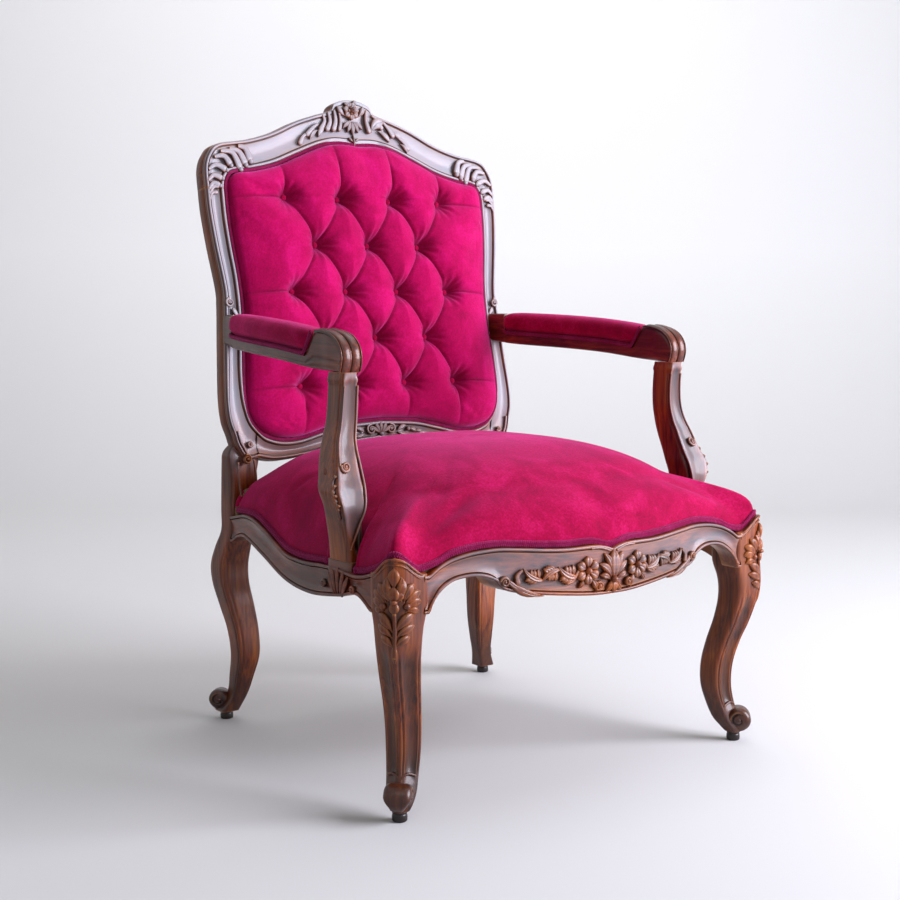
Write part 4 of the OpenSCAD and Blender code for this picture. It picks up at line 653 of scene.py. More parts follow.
# A hollow flute down each outer face with an incised line at each side: -d (1 - (q / 0.5)^2)^0.7, q
# across the face. Towards the knee the outer corner is rounded off
def legFlutes(x, y, nx, ny):
    fade = (smooth((legZ - 46) / 26) * smooth((246 - legZ) / 40))[:, None]
    upper = smooth((legZ - 225) / 50)[:, None]
    rounding = frontLegLook["corner"] * smooth(((x - y) / 2 - 0.62) / 0.3) * upper
    push = 0
    for across, facing in ((x, -ny), (y, nx)):
        on = smooth((facing - 0.75) / 0.2)
        hollow = frontLegLook["fluteDepth"] * np.clip(1 - (across / 0.5) ** 2, 0, 1) ** 0.7
        line = frontLegLook["lineDepth"] * np.exp(-(((np.abs(across) - 0.66) / 0.06) ** 2))
        push = push - on * (hollow + line)
    return push * fade - rounding


# The knee's upper edge: an arch that peaks at the outer corner and falls along both faces
def kneeArchHeight(away):
    return mix(frontLegLook["peak"], frontLegLook["valley"], smooth((away - 3) / frontLegLook["archReach"]))


def kneeTop(x, y):
    return kneeArchHeight(np.maximum(chair["frontX"] + chair["halfBlock"] - x,
                                     y - frontY + chair["halfBlock"]))


# The leg's rings, then rings that climb to the arch and close over it: rise share, inset and depth below it
def frontLegBody():
    rings, dirt = squareRings(legCentres, legHalf, legHalf, legPower, legFlutes, 176)
    last = rings[-1]
    middle = np.array([chair["frontX"], frontY])
    more = []
    for rise, shrink, sink in ((0.35, 0, 0), (0.7, 0, 0), (0.93, 0, 0), (1, 0.5, 1.2), (1, 2.2, 0.1),
                               (1, 6, 0),
                               (1, 12, 0), (1, 18, 0), (1, 24, 0)):
        flat = middle + (last[:, :2] - middle) * (1 - shrink / chair["halfBlock"])
        top = kneeTop(flat[:, 0], flat[:, 1]) - sink
        more.append(np.column_stack([flat, mix(last[:, 2], top, rise)]))
    return loft(np.concatenate([rings, more]), dirt=np.vstack([dirt, np.zeros((len(more), 176))]))


# A point on the leg at perimeter distance u from its outer corner, + towards the front face, at height z
cornerAngles = np.linspace(-math.pi * 0.75, math.pi * 0.25, 600)
cornerC = np.cos(cornerAngles)
cornerS = np.sin(cornerAngles)
cornerPower = 3.4
cornerR = squareRadius(cornerC, cornerS, cornerPower)
cornerX = cornerC * cornerR
cornerY = cornerS * cornerR
cornerNx = np.sign(cornerC) * np.abs(cornerC) ** (cornerPower - 1)
cornerNy = np.sign(cornerS) * np.abs(cornerS) ** (cornerPower - 1)
cornerRun = np.concatenate([[0], np.cumsum(np.hypot(np.diff(cornerX), np.diff(cornerY)))])
cornerRun = cornerRun - np.interp(-math.pi / 4, cornerAngles, cornerRun)


def onKnee(u, z, h):
    half = np.interp(z, legZ, legHalf)
    out = np.interp(z, legZ, legOut)
    run = -np.asarray(u) / half
    x = np.interp(run, cornerRun, cornerX)
    y = np.interp(run, cornerRun, cornerY)
    nx = np.interp(run, cornerRun, cornerNx)
    ny = np.interp(run, cornerRun, cornerNy)
    size = np.hypot(nx, ny)
    px = chair["frontX"] + out + half * x + nx / size * h
    py = frontY - out + half * y + ny / size * h
    return np.stack([px, py, z], axis=-1)


# The knee's carving: a bud, leaves that go to both sides and a stem, drawn as u from the corner and height z
kneeBud = [
    lobe((0, 318), (0, 345), 15, 6.5, 0, 0.6), lobe((-5, 316), (-9, 334), 10, 5.0, 2),
    lobe((5, 316), (9, 334), 10, 5.0, -2), lobe((0, 300), (0, 322), 15, 7.4, 0, 0.5),
    lobe((-3, 300), (-13, 314), 12, 6.2, -2, 0.55), lobe((3, 300), (13, 314), 12, 6.2, 2, 0.55),
    lobe((0, 302), (0, 284), 13, 6.6, 0, 0.5), boss((0, 301), 4.5, 4.5, 8.4),
]
kneeLeaves = [
    lobe((9, 302), (15, 328), 14, 6.2, 3, 0.62), lobe((13, 300), (28, 323), 14, 6.0, 3, 0.62),
    lobe((14, 296), (39, 312), 14, 5.8, 3, 0.6), boss((17, 294), 5.6, 5.0, 6.0),
    lobe((16, 291), (40, 298), 14, 5.6, 4, 0.6), lobe((15, 287), (35, 285), 11, 5.2, 3, 0.6),
    lobe((2, 262), (27, 284), 15, 6.0, 3, 0.6), lobe((2, 254), (29, 268), 13, 5.6, 3, 0.6),
    lobe((1, 240), (22, 254), 12, 5.0, 3, 0.62),
]
kneeStem = [ridge(bent([[0, 286], [1, 262], [0, 226]], 20), 2.6, 3.6),
            lobe((0, 244), (0, 216), 8, 4.0, 0, 0.4)]
kneeCarving = joined(kneeBud + kneeLeaves + [mirrored(leaf) for leaf in kneeLeaves] + kneeStem)
archAway = np.linspace(-58, 58, 90)
kneeArch = np.column_stack([archAway, kneeArchHeight(np.abs(archAway)) - 3.4])
cuff = bent([[-24, 58], [-13, 62], [-4, 60], [0, 54], [4, 60], [13, 62], [24, 58]], 50)
frontLegShape = joined([
    frontLegBody(),
    toeScroll(frontLegLook, chair["frontX"], frontY, -1, 9.0),
    placed(kneeCarving, onKnee),
    placed(ridge(kneeArch, 1.9, 2.0), onKnee),
    placed(ridge(kneeArch - [0, 6.4], 1.2, 1.2), onKnee),
    placed(ridge(cuff, 1.7, 1.6), onKnee),
])
addPair("frontLeg", frontLegShape, walnutUp)

# Rear legs with their stiles
rearLegLook = {
    "rows": [[0.033, 0, 0, 0.74, 0.74], [0.10, -0.57, -0.36, 0.64, 0.64], [0.175, -0.82, -0.52, 0.76, 0.76],
             [0.256, -1.0, -0.65, 0.89, 0.89], [0.35, -0.9, -0.58, 0.97, 0.97],
             [0.44, -0.62, -0.39, 1.07, 1.07], [0.53, -0.31, -0.20, 1.13, 1.13],
             [0.60, -0.24, -0.18, 1.15, 1.15], [0.67, -0.26, -0.50, 1.09, 1.09],
             [0.74, -0.22, -0.97, 0.97, 0.97], [0.82, -0.22, -1.0, 0.97, 0.97],
             [0.93, -0.26, -1.1, 1.05, 0.98], [1.0, -0.39, -1.12, 1.22, 0.86],
             [1.03, -0.39, -1.13, 1.22, 0.74], [1.052, -0.42, -1.12, 1.02, 0.58],
             [1.07, -0.5, -1.10, 0.7, 0.42]],
    "toeRadius": 18.0, "toeOut": 10.5, "toeWidth": 29.0, "lineDepth": 1.0,
}
rearRows = curve(rearLegLook["rows"], 8)
rearZ = rearRows[:, 0] * chair["backBase"]
rearCentres = np.stack([chair["rearX"] + rearRows[:, 1] * chair["rearSweep"],
                        rearY + rearRows[:, 2] * chair["rearRake"], rearZ], axis=1)


# An incised line near both edges of the side and front faces
def rearLines(x, y, nx, ny):
    fade = (smooth((rearZ - 50) / 20) * smooth((292 - rearZ) / 12))[:, None]
    push = 0
    for across, facing in ((x, np.abs(ny)), (y, np.abs(nx))):
        on = smooth((facing - 0.75) / 0.2)
        push = push - on * rearLegLook["lineDepth"] * np.exp(-(((np.abs(across) - 0.68) / 0.07) ** 2))
    return push * fade


# Outlines of the back frame, right half, as shares of its half width and length
frameLook = {
    "stileOut": [[0.815, 0.012], [0.865, 0.008], [0.90, 0.014], [0.938, 0.045], [0.955, 0.075],
                 [0.979, 0.115],
                 [0.984, 0.18], [0.966, 0.30], [0.945, 0.42], [0.944, 0.47], [0.975, 0.58], [0.994, 0.67],
                 [0.997, 0.73]],
    "stileIn": [[0.815, 0.095], [0.84, 0.115], [0.856, 0.14], [0.863, 0.19], [0.848, 0.28], [0.829, 0.40],
                [0.834, 0.49], [0.853, 0.57], [0.867, 0.65], [0.87, 0.73]],
    "crestOut": [[0.997, 0.73], [0.995, 0.785], [0.962, 0.825], [0.90, 0.85], [0.72, 0.866], [0.56, 0.89],
                 [0.40, 0.925], [0.27, 0.947], [0.15, 0.965], [0.12, 0.985], [0.06, 0.997], [0, 1]],
    "crestIn": [[0.87, 0.73], [0.857, 0.755], [0.815, 0.773], [0.70, 0.78], [0.55, 0.798], [0.40, 0.828],
                [0.25, 0.857], [0.13, 0.869], [0, 0.866]],
    "lowerTop": [[0.815, 0.095], [0.76, 0.073], [0.66, 0.060], [0.54, 0.062], [0.40, 0.078], [0.24, 0.094],
                 [0, 0.101]],
    "lowerBottom": [[0.815, 0.012], [0.72, 0.003], [0.60, 0.005], [0.44, 0.015], [0.24, 0.032], [0, 0.042]],
    "gimpSeat": 5.6, "innerBead": 2.7, "outerBead": 2.3, "hollow": 3.4,
}


def onFrame(key, steps=12):
    return curve(np.array(frameLook[key]) * [chair["backHalfWidth"], backLength], steps)


# The section across the frame: rows of a, b, n, for the distance a + b width from the opening and height n
def frameSection():
    seat = frameLook["gimpSeat"]
    r1 = frameLook["innerBead"]
    r2 = frameLook["outerBead"]
    turn = np.linspace(math.pi, 0, 11)
    rows = [[0, 0, -chair["backThick"]], [0, 0, -12], [0, 0, -0.9], [0.6, 0, -0.2], [seat - 0.2, 0, -0.2]]
    rows += [[seat + r1 + r1 * math.cos(a), 0, -0.8 + 1.15 * r1 * math.sin(a)] for a in turn]
    first = seat + 2 * r1 + 0.7
    last = 2 * r2 + 2.6
    rows += [[first, 0, -3.0], [first + 0.8, 0, -3.2]]
    rows += [[mix(first + 1.5, -last - 1.5, f), f, -1.7 - frameLook["hollow"] * math.sin(math.pi * f)]
             for f in np.linspace(0, 1, 15)]
    rows += [[-last - 0.8, 1, -3.2], [-last, 1, -3.0]]
    rows += [[-1.9 - r2 + r2 * math.cos(a), 1, -0.9 + 1.1 * r2 * math.sin(a)] for a in turn]
    rows += [[-1.6, 1, -2.4], [-0.5, 1, -2.8], [0, 1, -4], [0, 1, -8], [-1.3, 1, -9.4], [-1.3, 1, -10.6],
             [0.2, 1, -12], [0.8, 1, -17], [0.9, 1, -22], [0.5, 1, -27], [-0.6, 1, -31], [-2.2, 1, -33]]
    return np.array(rows)


frameRows = frameSection()


# Skin between matched points of the opening and of the outline
def frameLoft(inner, outer, plain=0.0):
    gap = outer - inner
    width = np.linalg.norm(gap, axis=1, keepdims=True)
    way = gap / width
    along = frameRows[:, 0] + frameRows[:, 1] * width
    flat = inner[:, None, :] + way[:, None, :] * along[:, :, None]
    height = np.broadcast_to(frameRows[None, :, 2], flat.shape[:2])
    height = mix(height, np.minimum(height, -1.8), np.broadcast_to(plain, len(inner))[:, None])
    # painted shade in the small grooves at each side of the hollow
    groove = np.isin(frameRows[:, 2], [-3.0, -3.2])
    return loft(onBack(flat[:, :, 0], flat[:, :, 1], height), dirt=np.where(groove, 1.0, 0.0))


# Matches two paths: equal shares of arc length up to the height s, then equal heights to their ends
def matchedStile(split=0.26, low=50, high=90):
    cut = split * backLength
    pairs = []
    for key in ("stileIn", "stileOut"):
        path = onFrame(key)
        heights = np.maximum.accumulate(path[:, 1] + np.arange(len(path)) * 1e-7)
        corner = path[:np.searchsorted(path[:, 1],
                                       cut)] if key == "stileIn" else path[:np.argmax(path[:, 1] > cut)]
        s = np.linspace(cut, path[-1, 1], high)
        above = np.stack([np.interp(s, heights, path[:, 0]), s], axis=1)
        corner = resample(np.vstack([corner, above[:1]]), low)
        pairs.append(np.vstack([corner[:-1], above]))
    return pairs


def matchedCrest(low=34, high=110):
    inner = onFrame("crestIn")
    outer = onFrame("crestOut")
    inner = np.vstack([resample(inner[:19], low)[:-1], resample(inner[18:], high)])
    outer = np.vstack([resample(outer[:25], low)[:-1], resample(outer[24:], high)])
    inner = np.vstack([inner, (inner * [-1, 1])[::-1][1:]])
    outer = np.vstack([outer, (outer * [-1, 1])[::-1][1:]])
    return inner, outer


def matchedLower(count=120):
    x = np.linspace(-0.815, 0.815, count) * chair["backHalfWidth"]
    sides = []
    for key in ("lowerTop", "lowerBottom"):
        path = onFrame(key)[::-1]
        sides.append(np.stack([x, readOff(path, np.abs(x))], axis=1))
    return sides


stileIn, stileOut = matchedStile()
stileCarving = joined([
    volute((267, 258), 9.5, 1.35, 95, 5.0, 4.4, -1),
    lobe((262, 250), (252, 236), 8, 3.4, 2, 0.4),
    finger([(286, 432), (278, 444), (268, 445)], 8, 4.0),
    finger([(286, 424), (281, 434), (271, 435.5)], 7, 3.6),
    volute((252, 30), 6.5, 1.2, 200, 4.0, 3.4, 1),
    ridge(bent([[272, 52], [268, 34], [262, 22], [257, 10]], 30), 2.0, 2.4),
    volute((262, 6), 9.5, 1.4, 80, 4.4, 9.0, 1),
])
neckCarving = joined([
    ridge(bent([[247, 4], [246, -20], [248, -52]], 24), 1.5, 1.6),
    ridge(bent([[276, 2], [277, -20], [275, -52]], 24), 1.5, 1.6),
])
rearLegShape = joined([
    squareLoft(rearCentres, rearRows[:, 3] * chair["halfRear"], rearRows[:, 4] * chair["halfRear"], 5.5,
               rearLines),
    frameLoft(stileIn, stileOut),
    toeScroll(rearLegLook, chair["rearX"], rearY, 1, 8.4),
    placed(stileCarving, onBack),
    placed(neckCarving, onBack),
])
addPair("rearLeg", rearLegShape, walnutUp, 42.0, backPaintedReflection)
print("stage: legs made")

# Crest rail. The carving is drawn as x across and s up the back
shoulderFingers = [
    [(228, 513), (215, 509), (208, 488)], [(244, 508), (227, 503), (217, 482)],
    [(260, 503), (239, 501), (227, 474)],
    [(272, 493), (255, 495), (244, 480)], [(284, 472), (270, 480), (252, 472)],
    [(286, 454), (276, 463), (261, 458)],
    [(286, 440), (278, 450), (266, 446)],
]


# Fingers that get smaller along their row, each with a round end
def fingersAlong(fingers, width, rise):
    parts = []
    for k, points in enumerate(fingers):
        share = k / (len(fingers) - 1)
        size = mix(1, 0.72, share)
        parts.append(finger(points, width * size, rise * mix(1, 0.8, share)))
        parts.append(boss(points[-1], width * 0.36 * size, width * 0.36 * size, rise * 1.15 * size))
    return joined(parts)


crestLeft = [
    lobe((-17, 578), (-31, 594), 10, 5.6, 2, 0.6), finger([(-28, 582), (-27, 566), (-32, 550)], 9, 5.2),
    finger([(-38, 586), (-37, 568), (-44, 549)], 11, 5.6),
    finger([(-50, 582), (-48, 566), (-57, 549)], 11, 5.2),
    finger([(-61, 577), (-59, 565), (-70, 549)], 10, 4.8), lobe((-56, 560), (-73, 538), 10, 4.4, -3, 0.6),
    finger([(-72, 560), (-84, 552), (-98, 538)], 10, 4.8), lobe((-72, 550), (-90, 533), 8, 4.2, -3, 0.6),
    finger([(-94, 543), (-104, 536), (-112, 522)], 10, 4.6),
]
crestRight = [
    lobe((10, 578), (21, 596), 10, 5.8, -2, 0.6), finger([(27, 590), (25, 570), (30, 550)], 11, 6.2),
    lobe((34, 553), (61, 571), 20, 6.0, 6, 0.6, 0.35), finger([(38, 582), (47, 575), (57, 558)], 10, 5.2),
    finger([(60, 572), (70, 561), (80, 546)], 11, 5.0), lobe((48, 556), (70, 538), 10, 4.4, 3, 0.6),
    lobe((72, 558), (94, 543), 10, 4.6, 3, 0.6), finger([(88, 548), (100, 540), (110, 525)], 11, 4.8),
    lobe((92, 536), (106, 521), 8, 4.2, 3, 0.6),
]
crestMiddle = [
    flower((-4, 587), 16, 7, 6.2, 12), flower((-4, 587), 8.5, 5, 8.4, 40),
    lobe((-5, 569), (-23, 556), 8, 5.0, -2, 0.55), lobe((-5, 569), (-14, 550), 8, 5.2, -1, 0.55),
    lobe((-4, 569), (-4, 546), 9, 5.6, 0, 0.55), lobe((-3, 569), (7, 550), 8, 5.2, 1, 0.55),
    lobe((-3, 569), (16, 556), 8, 5.0, 2, 0.55), lobe((-3.5, 546), (-3.5, 524), 4.0, 4.6, 0, 0.5),
    lobe((-4, 534), (-13, 541), 5.0, 4.2, 1, 0.6), lobe((-3, 534), (6, 541), 5.0, 4.2, -1, 0.6),
    lobe((0, 598), (8, 604), 8, 5.4, 1, 0.5), lobe((-8, 597), (-17, 601), 8, 5.2, 1, 0.5),
]
shoulderRight = placed(fingersAlong(shoulderFingers, 15.5, chair["carving"] + 1), onBack)
crestInner, crestOuter = matchedCrest()
crestPlain = 1 - smooth((np.abs(crestOuter[:, 0]) - 46) / 22)
crestShape = joined([frameLoft(crestInner, crestOuter, crestPlain), shoulderRight, mirrored(shoulderRight),
                     placed(joined(crestLeft + crestRight + crestMiddle), onBack)])
addPiece("crestRail", crestShape, walnutAcross, "crest_rail", 42.0, backPaintedReflection)

# Lower back rail
lowerSide = joined([
    volute((20, 42), 11, 1.3, 100, 4.6, 4.4, -1), lobe((34, 38), (52, 46), 8, 4, 2),
    lobe((34, 36), (54, 32), 7, 3.6, -2),
    lobe((58, 40), (72, 34), 8, 4, 2), boss((56, 40), 4, 4, 4.2), lobe((70, 36), (86, 34), 6, 3.4, 1),
])
lowerFan = [lobe((0, 34), (26 * math.sin(a), 34 + 21 * math.cos(a)), 7.5, 4.8, 0, 0.66)
            for a in (-0.9, -0.45, 0, 0.45, 0.9)]
lowerMiddle = joined(lowerFan + [boss((0, 34), 5, 4, 5.4)])
lowerCarving = placed(lowerSide, onBack)
lowerInner, lowerOuter = matchedLower()
lowerShape = joined([frameLoft(lowerInner, lowerOuter), lowerCarving, mirrored(lowerCarving),
                     placed(lowerMiddle, onBack)])
addPiece("lowerBackRail", lowerShape, walnutAcross, "lower_back_rail", 42.0, backPaintedReflection)
print("stage: back frame made")


# Section of a seat rail: z from its top and bottom edges, d out from its face, bead above and below, and
# a hollow field of depth f sin(pi share) between them
def railLoft(face, normal, inner, top, bottom, rebate):
    low = bottom[:, None]
    high = top[:, None]
    turn = np.linspace(math.pi / 2, -math.pi / 2, 9)[None, :]
    share = np.linspace(0, 1, 15)[None, :]
    one = np.ones_like(low)
    d = np.hstack([one * -3.2, -1.3 + 2.5 * np.cos(turn) * one, one * -2.4,
                   -1.0 - 2.8 * np.sin(math.pi * share) * one, one * -2.4,
                   -1.3 + 2.5 * np.cos(turn) * one, one * -3.4])
    z = np.hstack([high, high - 2.5 + 2.5 * np.sin(turn), high - 5.8,
                   mix(high - 6.6, low + 6.6, share), low + 5.8,
                   low + 2.5 + 2.5 * np.sin(turn), low])
    front = face[:, None, :] + normal[:, None, :] * d[:, :, None]
    front = np.concatenate([front, z[:, :, None]], axis=2)
    step = np.minimum(high, rebate)
    lip = inner + unit(face - inner) * chair["rebateWidth"]
    back = [np.hstack([inner, low]), np.hstack([inner, step]), np.hstack([lip, step]), np.hstack([lip, high])]
    return loft(np.concatenate([np.stack(back, axis=1), front], axis=1))


# Front seat rail
frontRailLook = {
    "top": [[0, 0.983], [0.05, 0.996], [0.12, 1.003], [0.31, 1.003], [0.52, 1.017], [0.64, 1.024],
            [0.77, 1.017], [0.87, 1.0], [0.94, 0.977], [1, 0.946]],
    "bottom": [[0, 0.80], [0.14, 0.803], [0.38, 0.823], [0.55, 0.845], [0.62, 0.866], [0.66, 0.90],
               [0.72, 0.918], [0.79, 0.921], [0.87, 0.911], [0.93, 0.887], [0.97, 0.855], [1, 0.80]],
}
railHalf = chair["frontX"] - chair["halfBlock"]
railInnerY = railFrontY + chair["frontRailThick"]
frontTop = curve(np.array(frontRailLook["top"]) * [railHalf, chair["railHeight"]], 12)
frontBottom = curve(np.array(frontRailLook["bottom"]) * [railHalf, chair["railHeight"]], 12)


# The face bows forward: y = end - bow cos(90 |x| / half)^1.6
def frontFaceY(x):
    bow = np.cos(np.pi / 2 * np.minimum(np.abs(x) / railHalf, 1))
    back = chair["railSetback"] * smooth((np.abs(x) / railHalf - 0.88) / 0.12)
    return railFrontY - back - chair["frontBow"] * np.maximum(bow, 0) ** 1.6


def onApron(x, z, h):
    slope = frontFaceY(x + 0.5) - frontFaceY(x - 0.5)
    size = np.sqrt(1 + slope**2)
    return np.stack(np.broadcast_arrays(x + slope / size * h, frontFaceY(x) - h / size, z), axis=-1)


railX = np.linspace(-railHalf - 8, railHalf + 8, 260)
railSlope = np.gradient(frontFaceY(railX), railX)
railNormal = np.stack([railSlope, -np.ones_like(railX)], axis=1) / np.sqrt(1 + railSlope**2)[:, None]
apronSide = joined([
    flower(np.array([46, 317]), 20, 6, 6.0, 30), lobe((38, 304), (28, 290), 10, 5.4, 1),
    lobe((54, 304), (62, 294), 8, 5, -1),
    acanthus((64, 310), (94, 326), 27, 6.0, -5), acanthus((92, 322), (120, 308), 24, 5.6, 5),
    acanthus((118, 310), (148, 328), 22, 5.4, -5), finger([(62, 318), (72, 306), (84, 304)], 9, 5.0),
    finger([(150, 326), (158, 318), (156, 306)], 9, 4.8),
    lobe((166, 308), (122, 290), 12, 4.6, 4, 0.4), lobe((160, 303), (116, 288), 6, 5, 3, 0.45),
    lobe((172, 315), (146, 299), 8, 4, 3, 0.4), volute((176, 312), 9, 1.3, 10, 4.8, 5, 1),
    volute((27, 294), 9, 1.2, 300, 5.0, 5.6, 1), boss((27, 294), 4.5, 4.5, 6.4),
    ridge(bent([[6, 341], [14, 344], [26, 347], [40, 347]], 24), 1.8, 2.4),
])
apronMiddle = joined([
    lobe((0, 300), (0, 343), 22, 8.4, 0, 0.55, 0.3), lobe((-3, 302), (-17, 338), 12, 7.0, -4, 0.6),
    lobe((3, 302), (17, 338), 12, 7.0, 4, 0.6), lobe((-4, 302), (-25, 324), 12, 6.2, -4, 0.6),
    lobe((4, 302), (25, 324), 12, 6.2, 4, 0.6), lobe((-5, 300), (-24, 308), 10, 5.6, -2, 0.6),
    lobe((5, 300), (24, 308), 10, 5.6, 2, 0.6), lobe((0, 302), (0, 281), 13, 6.4, 0, 0.5),
    lobe((-3, 301), (-15, 284), 9, 5.4, 2), lobe((3, 301), (15, 284), 9, 5.4, -2),
    boss((0, 301), 5.5, 5.5, 9.0),
])
archBead = bent([[178, 308], [190, 317], [208, 323.5], [230, 325], [252, 321], [270, 311], [282, 299],
                 [291, 284]],
                90, 8)
apronCarving = placed(joined([apronSide, ridge(archBead, 2.0, 1.6)]), onApron)
frontRailShape = joined([
    railLoft(np.stack([railX, frontFaceY(railX)], axis=1), railNormal,
             np.stack([railX, np.full_like(railX, railInnerY)], axis=1),
             readOff(frontTop, np.abs(railX)), readOff(frontBottom, np.abs(railX)), chair["webHeight"]),
    apronCarving, mirrored(apronCarving), placed(apronMiddle, onApron),
])
addPiece("frontSeatRail", frontRailShape, walnutAcross, "front_seat_rail", 42.0, railPaintedReflection)

# Side seat rails
sideRailLook = {
    "top": [[0, 0.946], [0.05, 0.928], [0.11, 0.92], [0.2, 0.925], [0.30, 0.92], [0.37, 0.911], [0.46, 0.906],
            [0.545, 0.912], [0.63, 0.943], [0.72, 0.983], [0.81, 1.011], [0.88, 1.015], [0.95, 1.0],
            [1, 0.986]],
    "bottom": [[0, 0.80], [0.08, 0.843], [0.19, 0.812], [0.37, 0.781], [0.545, 0.794], [0.72, 0.857],
               [0.87, 0.906], [0.94, 0.90], [1, 0.866]],
}
sideFrontY = frontY + chair["halfBlock"]
sideRearY = rearBlockY - chair["halfRear"]
sideLength = sideRearY - sideFrontY
sideFrontX = chair["frontX"] + chair["halfBlock"] - chair["railSetback"]
sideRearX = rearBlockX + chair["halfRear"]
sideTop = curve(np.array(sideRailLook["top"]) * [sideLength, chair["railHeight"]], 12)
sideBottom = curve(np.array(sideRailLook["bottom"]) * [sideLength, chair["railHeight"]], 12)


def sideOuterX(y):
    t = (y - sideFrontY) / sideLength
    return mix(sideFrontX, sideRearX, t) + chair["sideBow"] * np.sin(math.pi * np.clip(t, 0, 1))


def sideInnerX(y):
    return mix(sideFrontX, sideRearX, (y - sideFrontY) / sideLength) - chair["sideRailThick"]


def onSide(y, z, h):
    slope = sideOuterX(y + 0.5) - sideOuterX(y - 0.5)
    size = np.sqrt(1 + slope**2)
    return np.stack(np.broadcast_arrays(sideOuterX(y) + h / size, y - slope / size * h, z), axis=-1)


railYs = np.linspace(sideFrontY - 8, sideRearY + 6, 220)
sideSlope = np.gradient(sideOuterX(railYs), railYs)
sideNormal = np.stack([np.ones_like(railYs), -sideSlope], axis=1) / np.sqrt(1 + sideSlope**2)[:, None]
postY = frontY + chair["postFootSet"]
postFootX = sideOuterX(postY) - chair["postFootIn"]
postSeat = chair["railHeight"] * 0.957
sideFan = [lobe((postY + 34 * math.sin(a), 309 + 16 * math.cos(a)),
                (postY + 12 * math.sin(a), 284 + 4 * math.cos(a)),
                8, 3.8, 0, 0.4) for a in (-1.1, -0.55, 0, 0.55, 1.1)]
sideVolutes = [volute((postY - 44, 300), 8, 1.2, 0, 4, 3.6, 1),
               volute((postY + 44, 296), 8, 1.2, 180, 4, 3.6, -1)]
sideCarving = joined(sideFan + sideVolutes)
# The block under an arm post, on the rail's face
platformLook = {"z": [304, 305, 306, 320, 333.5, 334.5, postSeat], "inset": [2.0, 0.6, 0, 0, 0, 0.6, 1.6],
                "halfX": 15.4, "halfY": 29.7, "power": 9.0, "inward": 1.2}
platformIn = np.array(platformLook["inset"])
platformCentres = np.array([[postFootX - platformLook["inward"], postY, z] for z in platformLook["z"]])
platform = squareLoft(platformCentres, platformLook["halfX"] - platformIn, platformLook["halfY"] - platformIn,
                      platformLook["power"])
# The ledge inside a side rail, on which the webbing lies. It closes the rail where its top dips below it
ledgeLook = {"wide": 10.5, "top": 339.8, "depth": 6.0, "inset": 0.2}
ledgeYs = np.linspace(sideFrontY + 1, sideRearY - 1, 60)
ledgeIn = sideInnerX(ledgeYs) + ledgeLook["inset"]
ledgeOut = ledgeIn + ledgeLook["wide"]
ledgeTop = np.full(60, ledgeLook["top"])
ledgeLow = np.minimum(readOff(sideTop, ledgeYs - sideFrontY), ledgeLook["top"]) - ledgeLook["depth"]
ledgeCorners = [(ledgeIn, ledgeLow), (ledgeOut, ledgeLow), (ledgeOut, ledgeTop), (ledgeIn, ledgeTop)]
webLedge = loft(np.stack([np.column_stack([x, ledgeYs, z]) for x, z in ledgeCorners], axis=1))
sideRailShape = joined([
    webLedge,
    railLoft(np.stack([sideOuterX(railYs), railYs], axis=1), sideNormal,
             np.stack([sideInnerX(railYs), railYs], axis=1),
             readOff(sideTop, railYs - sideFrontY), readOff(sideBottom, railYs - sideFrontY),
             chair["webHeight"] + 2),
    platform,
    placed(sideCarving, onSide),
])
addPair("sideSeatRail", sideRailShape, walnutDeep)

# Rear seat rail: a planed board with eased edges and the webbing's rebate
rearRailHalf = rearBlockX - chair["halfRear"]
rearRailLook = {"thick": 24.0, "high": 50.0, "bevel": 1.6, "ease": 1.2}
rearRailY = rearBlockY + chair["halfRear"] - chair["railSetback"] - rearRailLook["thick"]
boardBack = rearRailLook["thick"]
boardTop = chair["railHeight"]
boardLow = boardTop - rearRailLook["high"]
boardStep = chair["rebateWidth"]
bevel = rearRailLook["bevel"]
ease = rearRailLook["ease"]
boardCorners = [
    [0, boardLow + bevel], [0, chair["webHeight"] - 1.4], [ease, chair["webHeight"]],
    [boardStep, chair["webHeight"]], [boardStep, boardTop - bevel], [boardStep + ease, boardTop],
    [boardBack - bevel, boardTop], [boardBack, boardTop - bevel], [boardBack, boardLow + bevel],
    [boardBack - bevel, boardLow], [bevel, boardLow],
]
boardRing = np.array([[0, rearRailY + y, z] for y, z in boardCorners])
boardRows = boardRing[None] + np.linspace(-rearRailHalf - 2, rearRailHalf + 2, 24)[:, None, None] * [1, 0, 0]
addPiece("rearSeatRail", loft(boardRows), walnutAcross, "rear_seat_rail", 30.0)
print("stage: seat rails made")

# Turned foot pegs: radius follows a profile up the peg
pegLook = {"profile": [[0, 8.6], [0.8, 9.8], [2, 10.3], [5, 10.5], [9, 10.2], [11, 9.4], [12, 10.2],
                       [14, 10.5], [15, 8]]}
pegRows = curve(pegLook["profile"], 5)
pegTurn = circleSteps(48)
pegs = []
for footX, footY in ((chair["frontX"], frontY), (chair["rearX"], rearY)):
    pegRings = np.stack(np.broadcast_arrays(footX + pegRows[:, 1:] * np.cos(pegTurn),
                                            footY + pegRows[:, 1:] * np.sin(pegTurn),
                                            np.maximum(pegRows[:, :1], 0)), axis=2)
    pegs += [loft(pegRings), mirrored(loft(pegRings))]
addPiece("footPegs", joined(pegs), pegWood, "foot_pegs", 50.0)

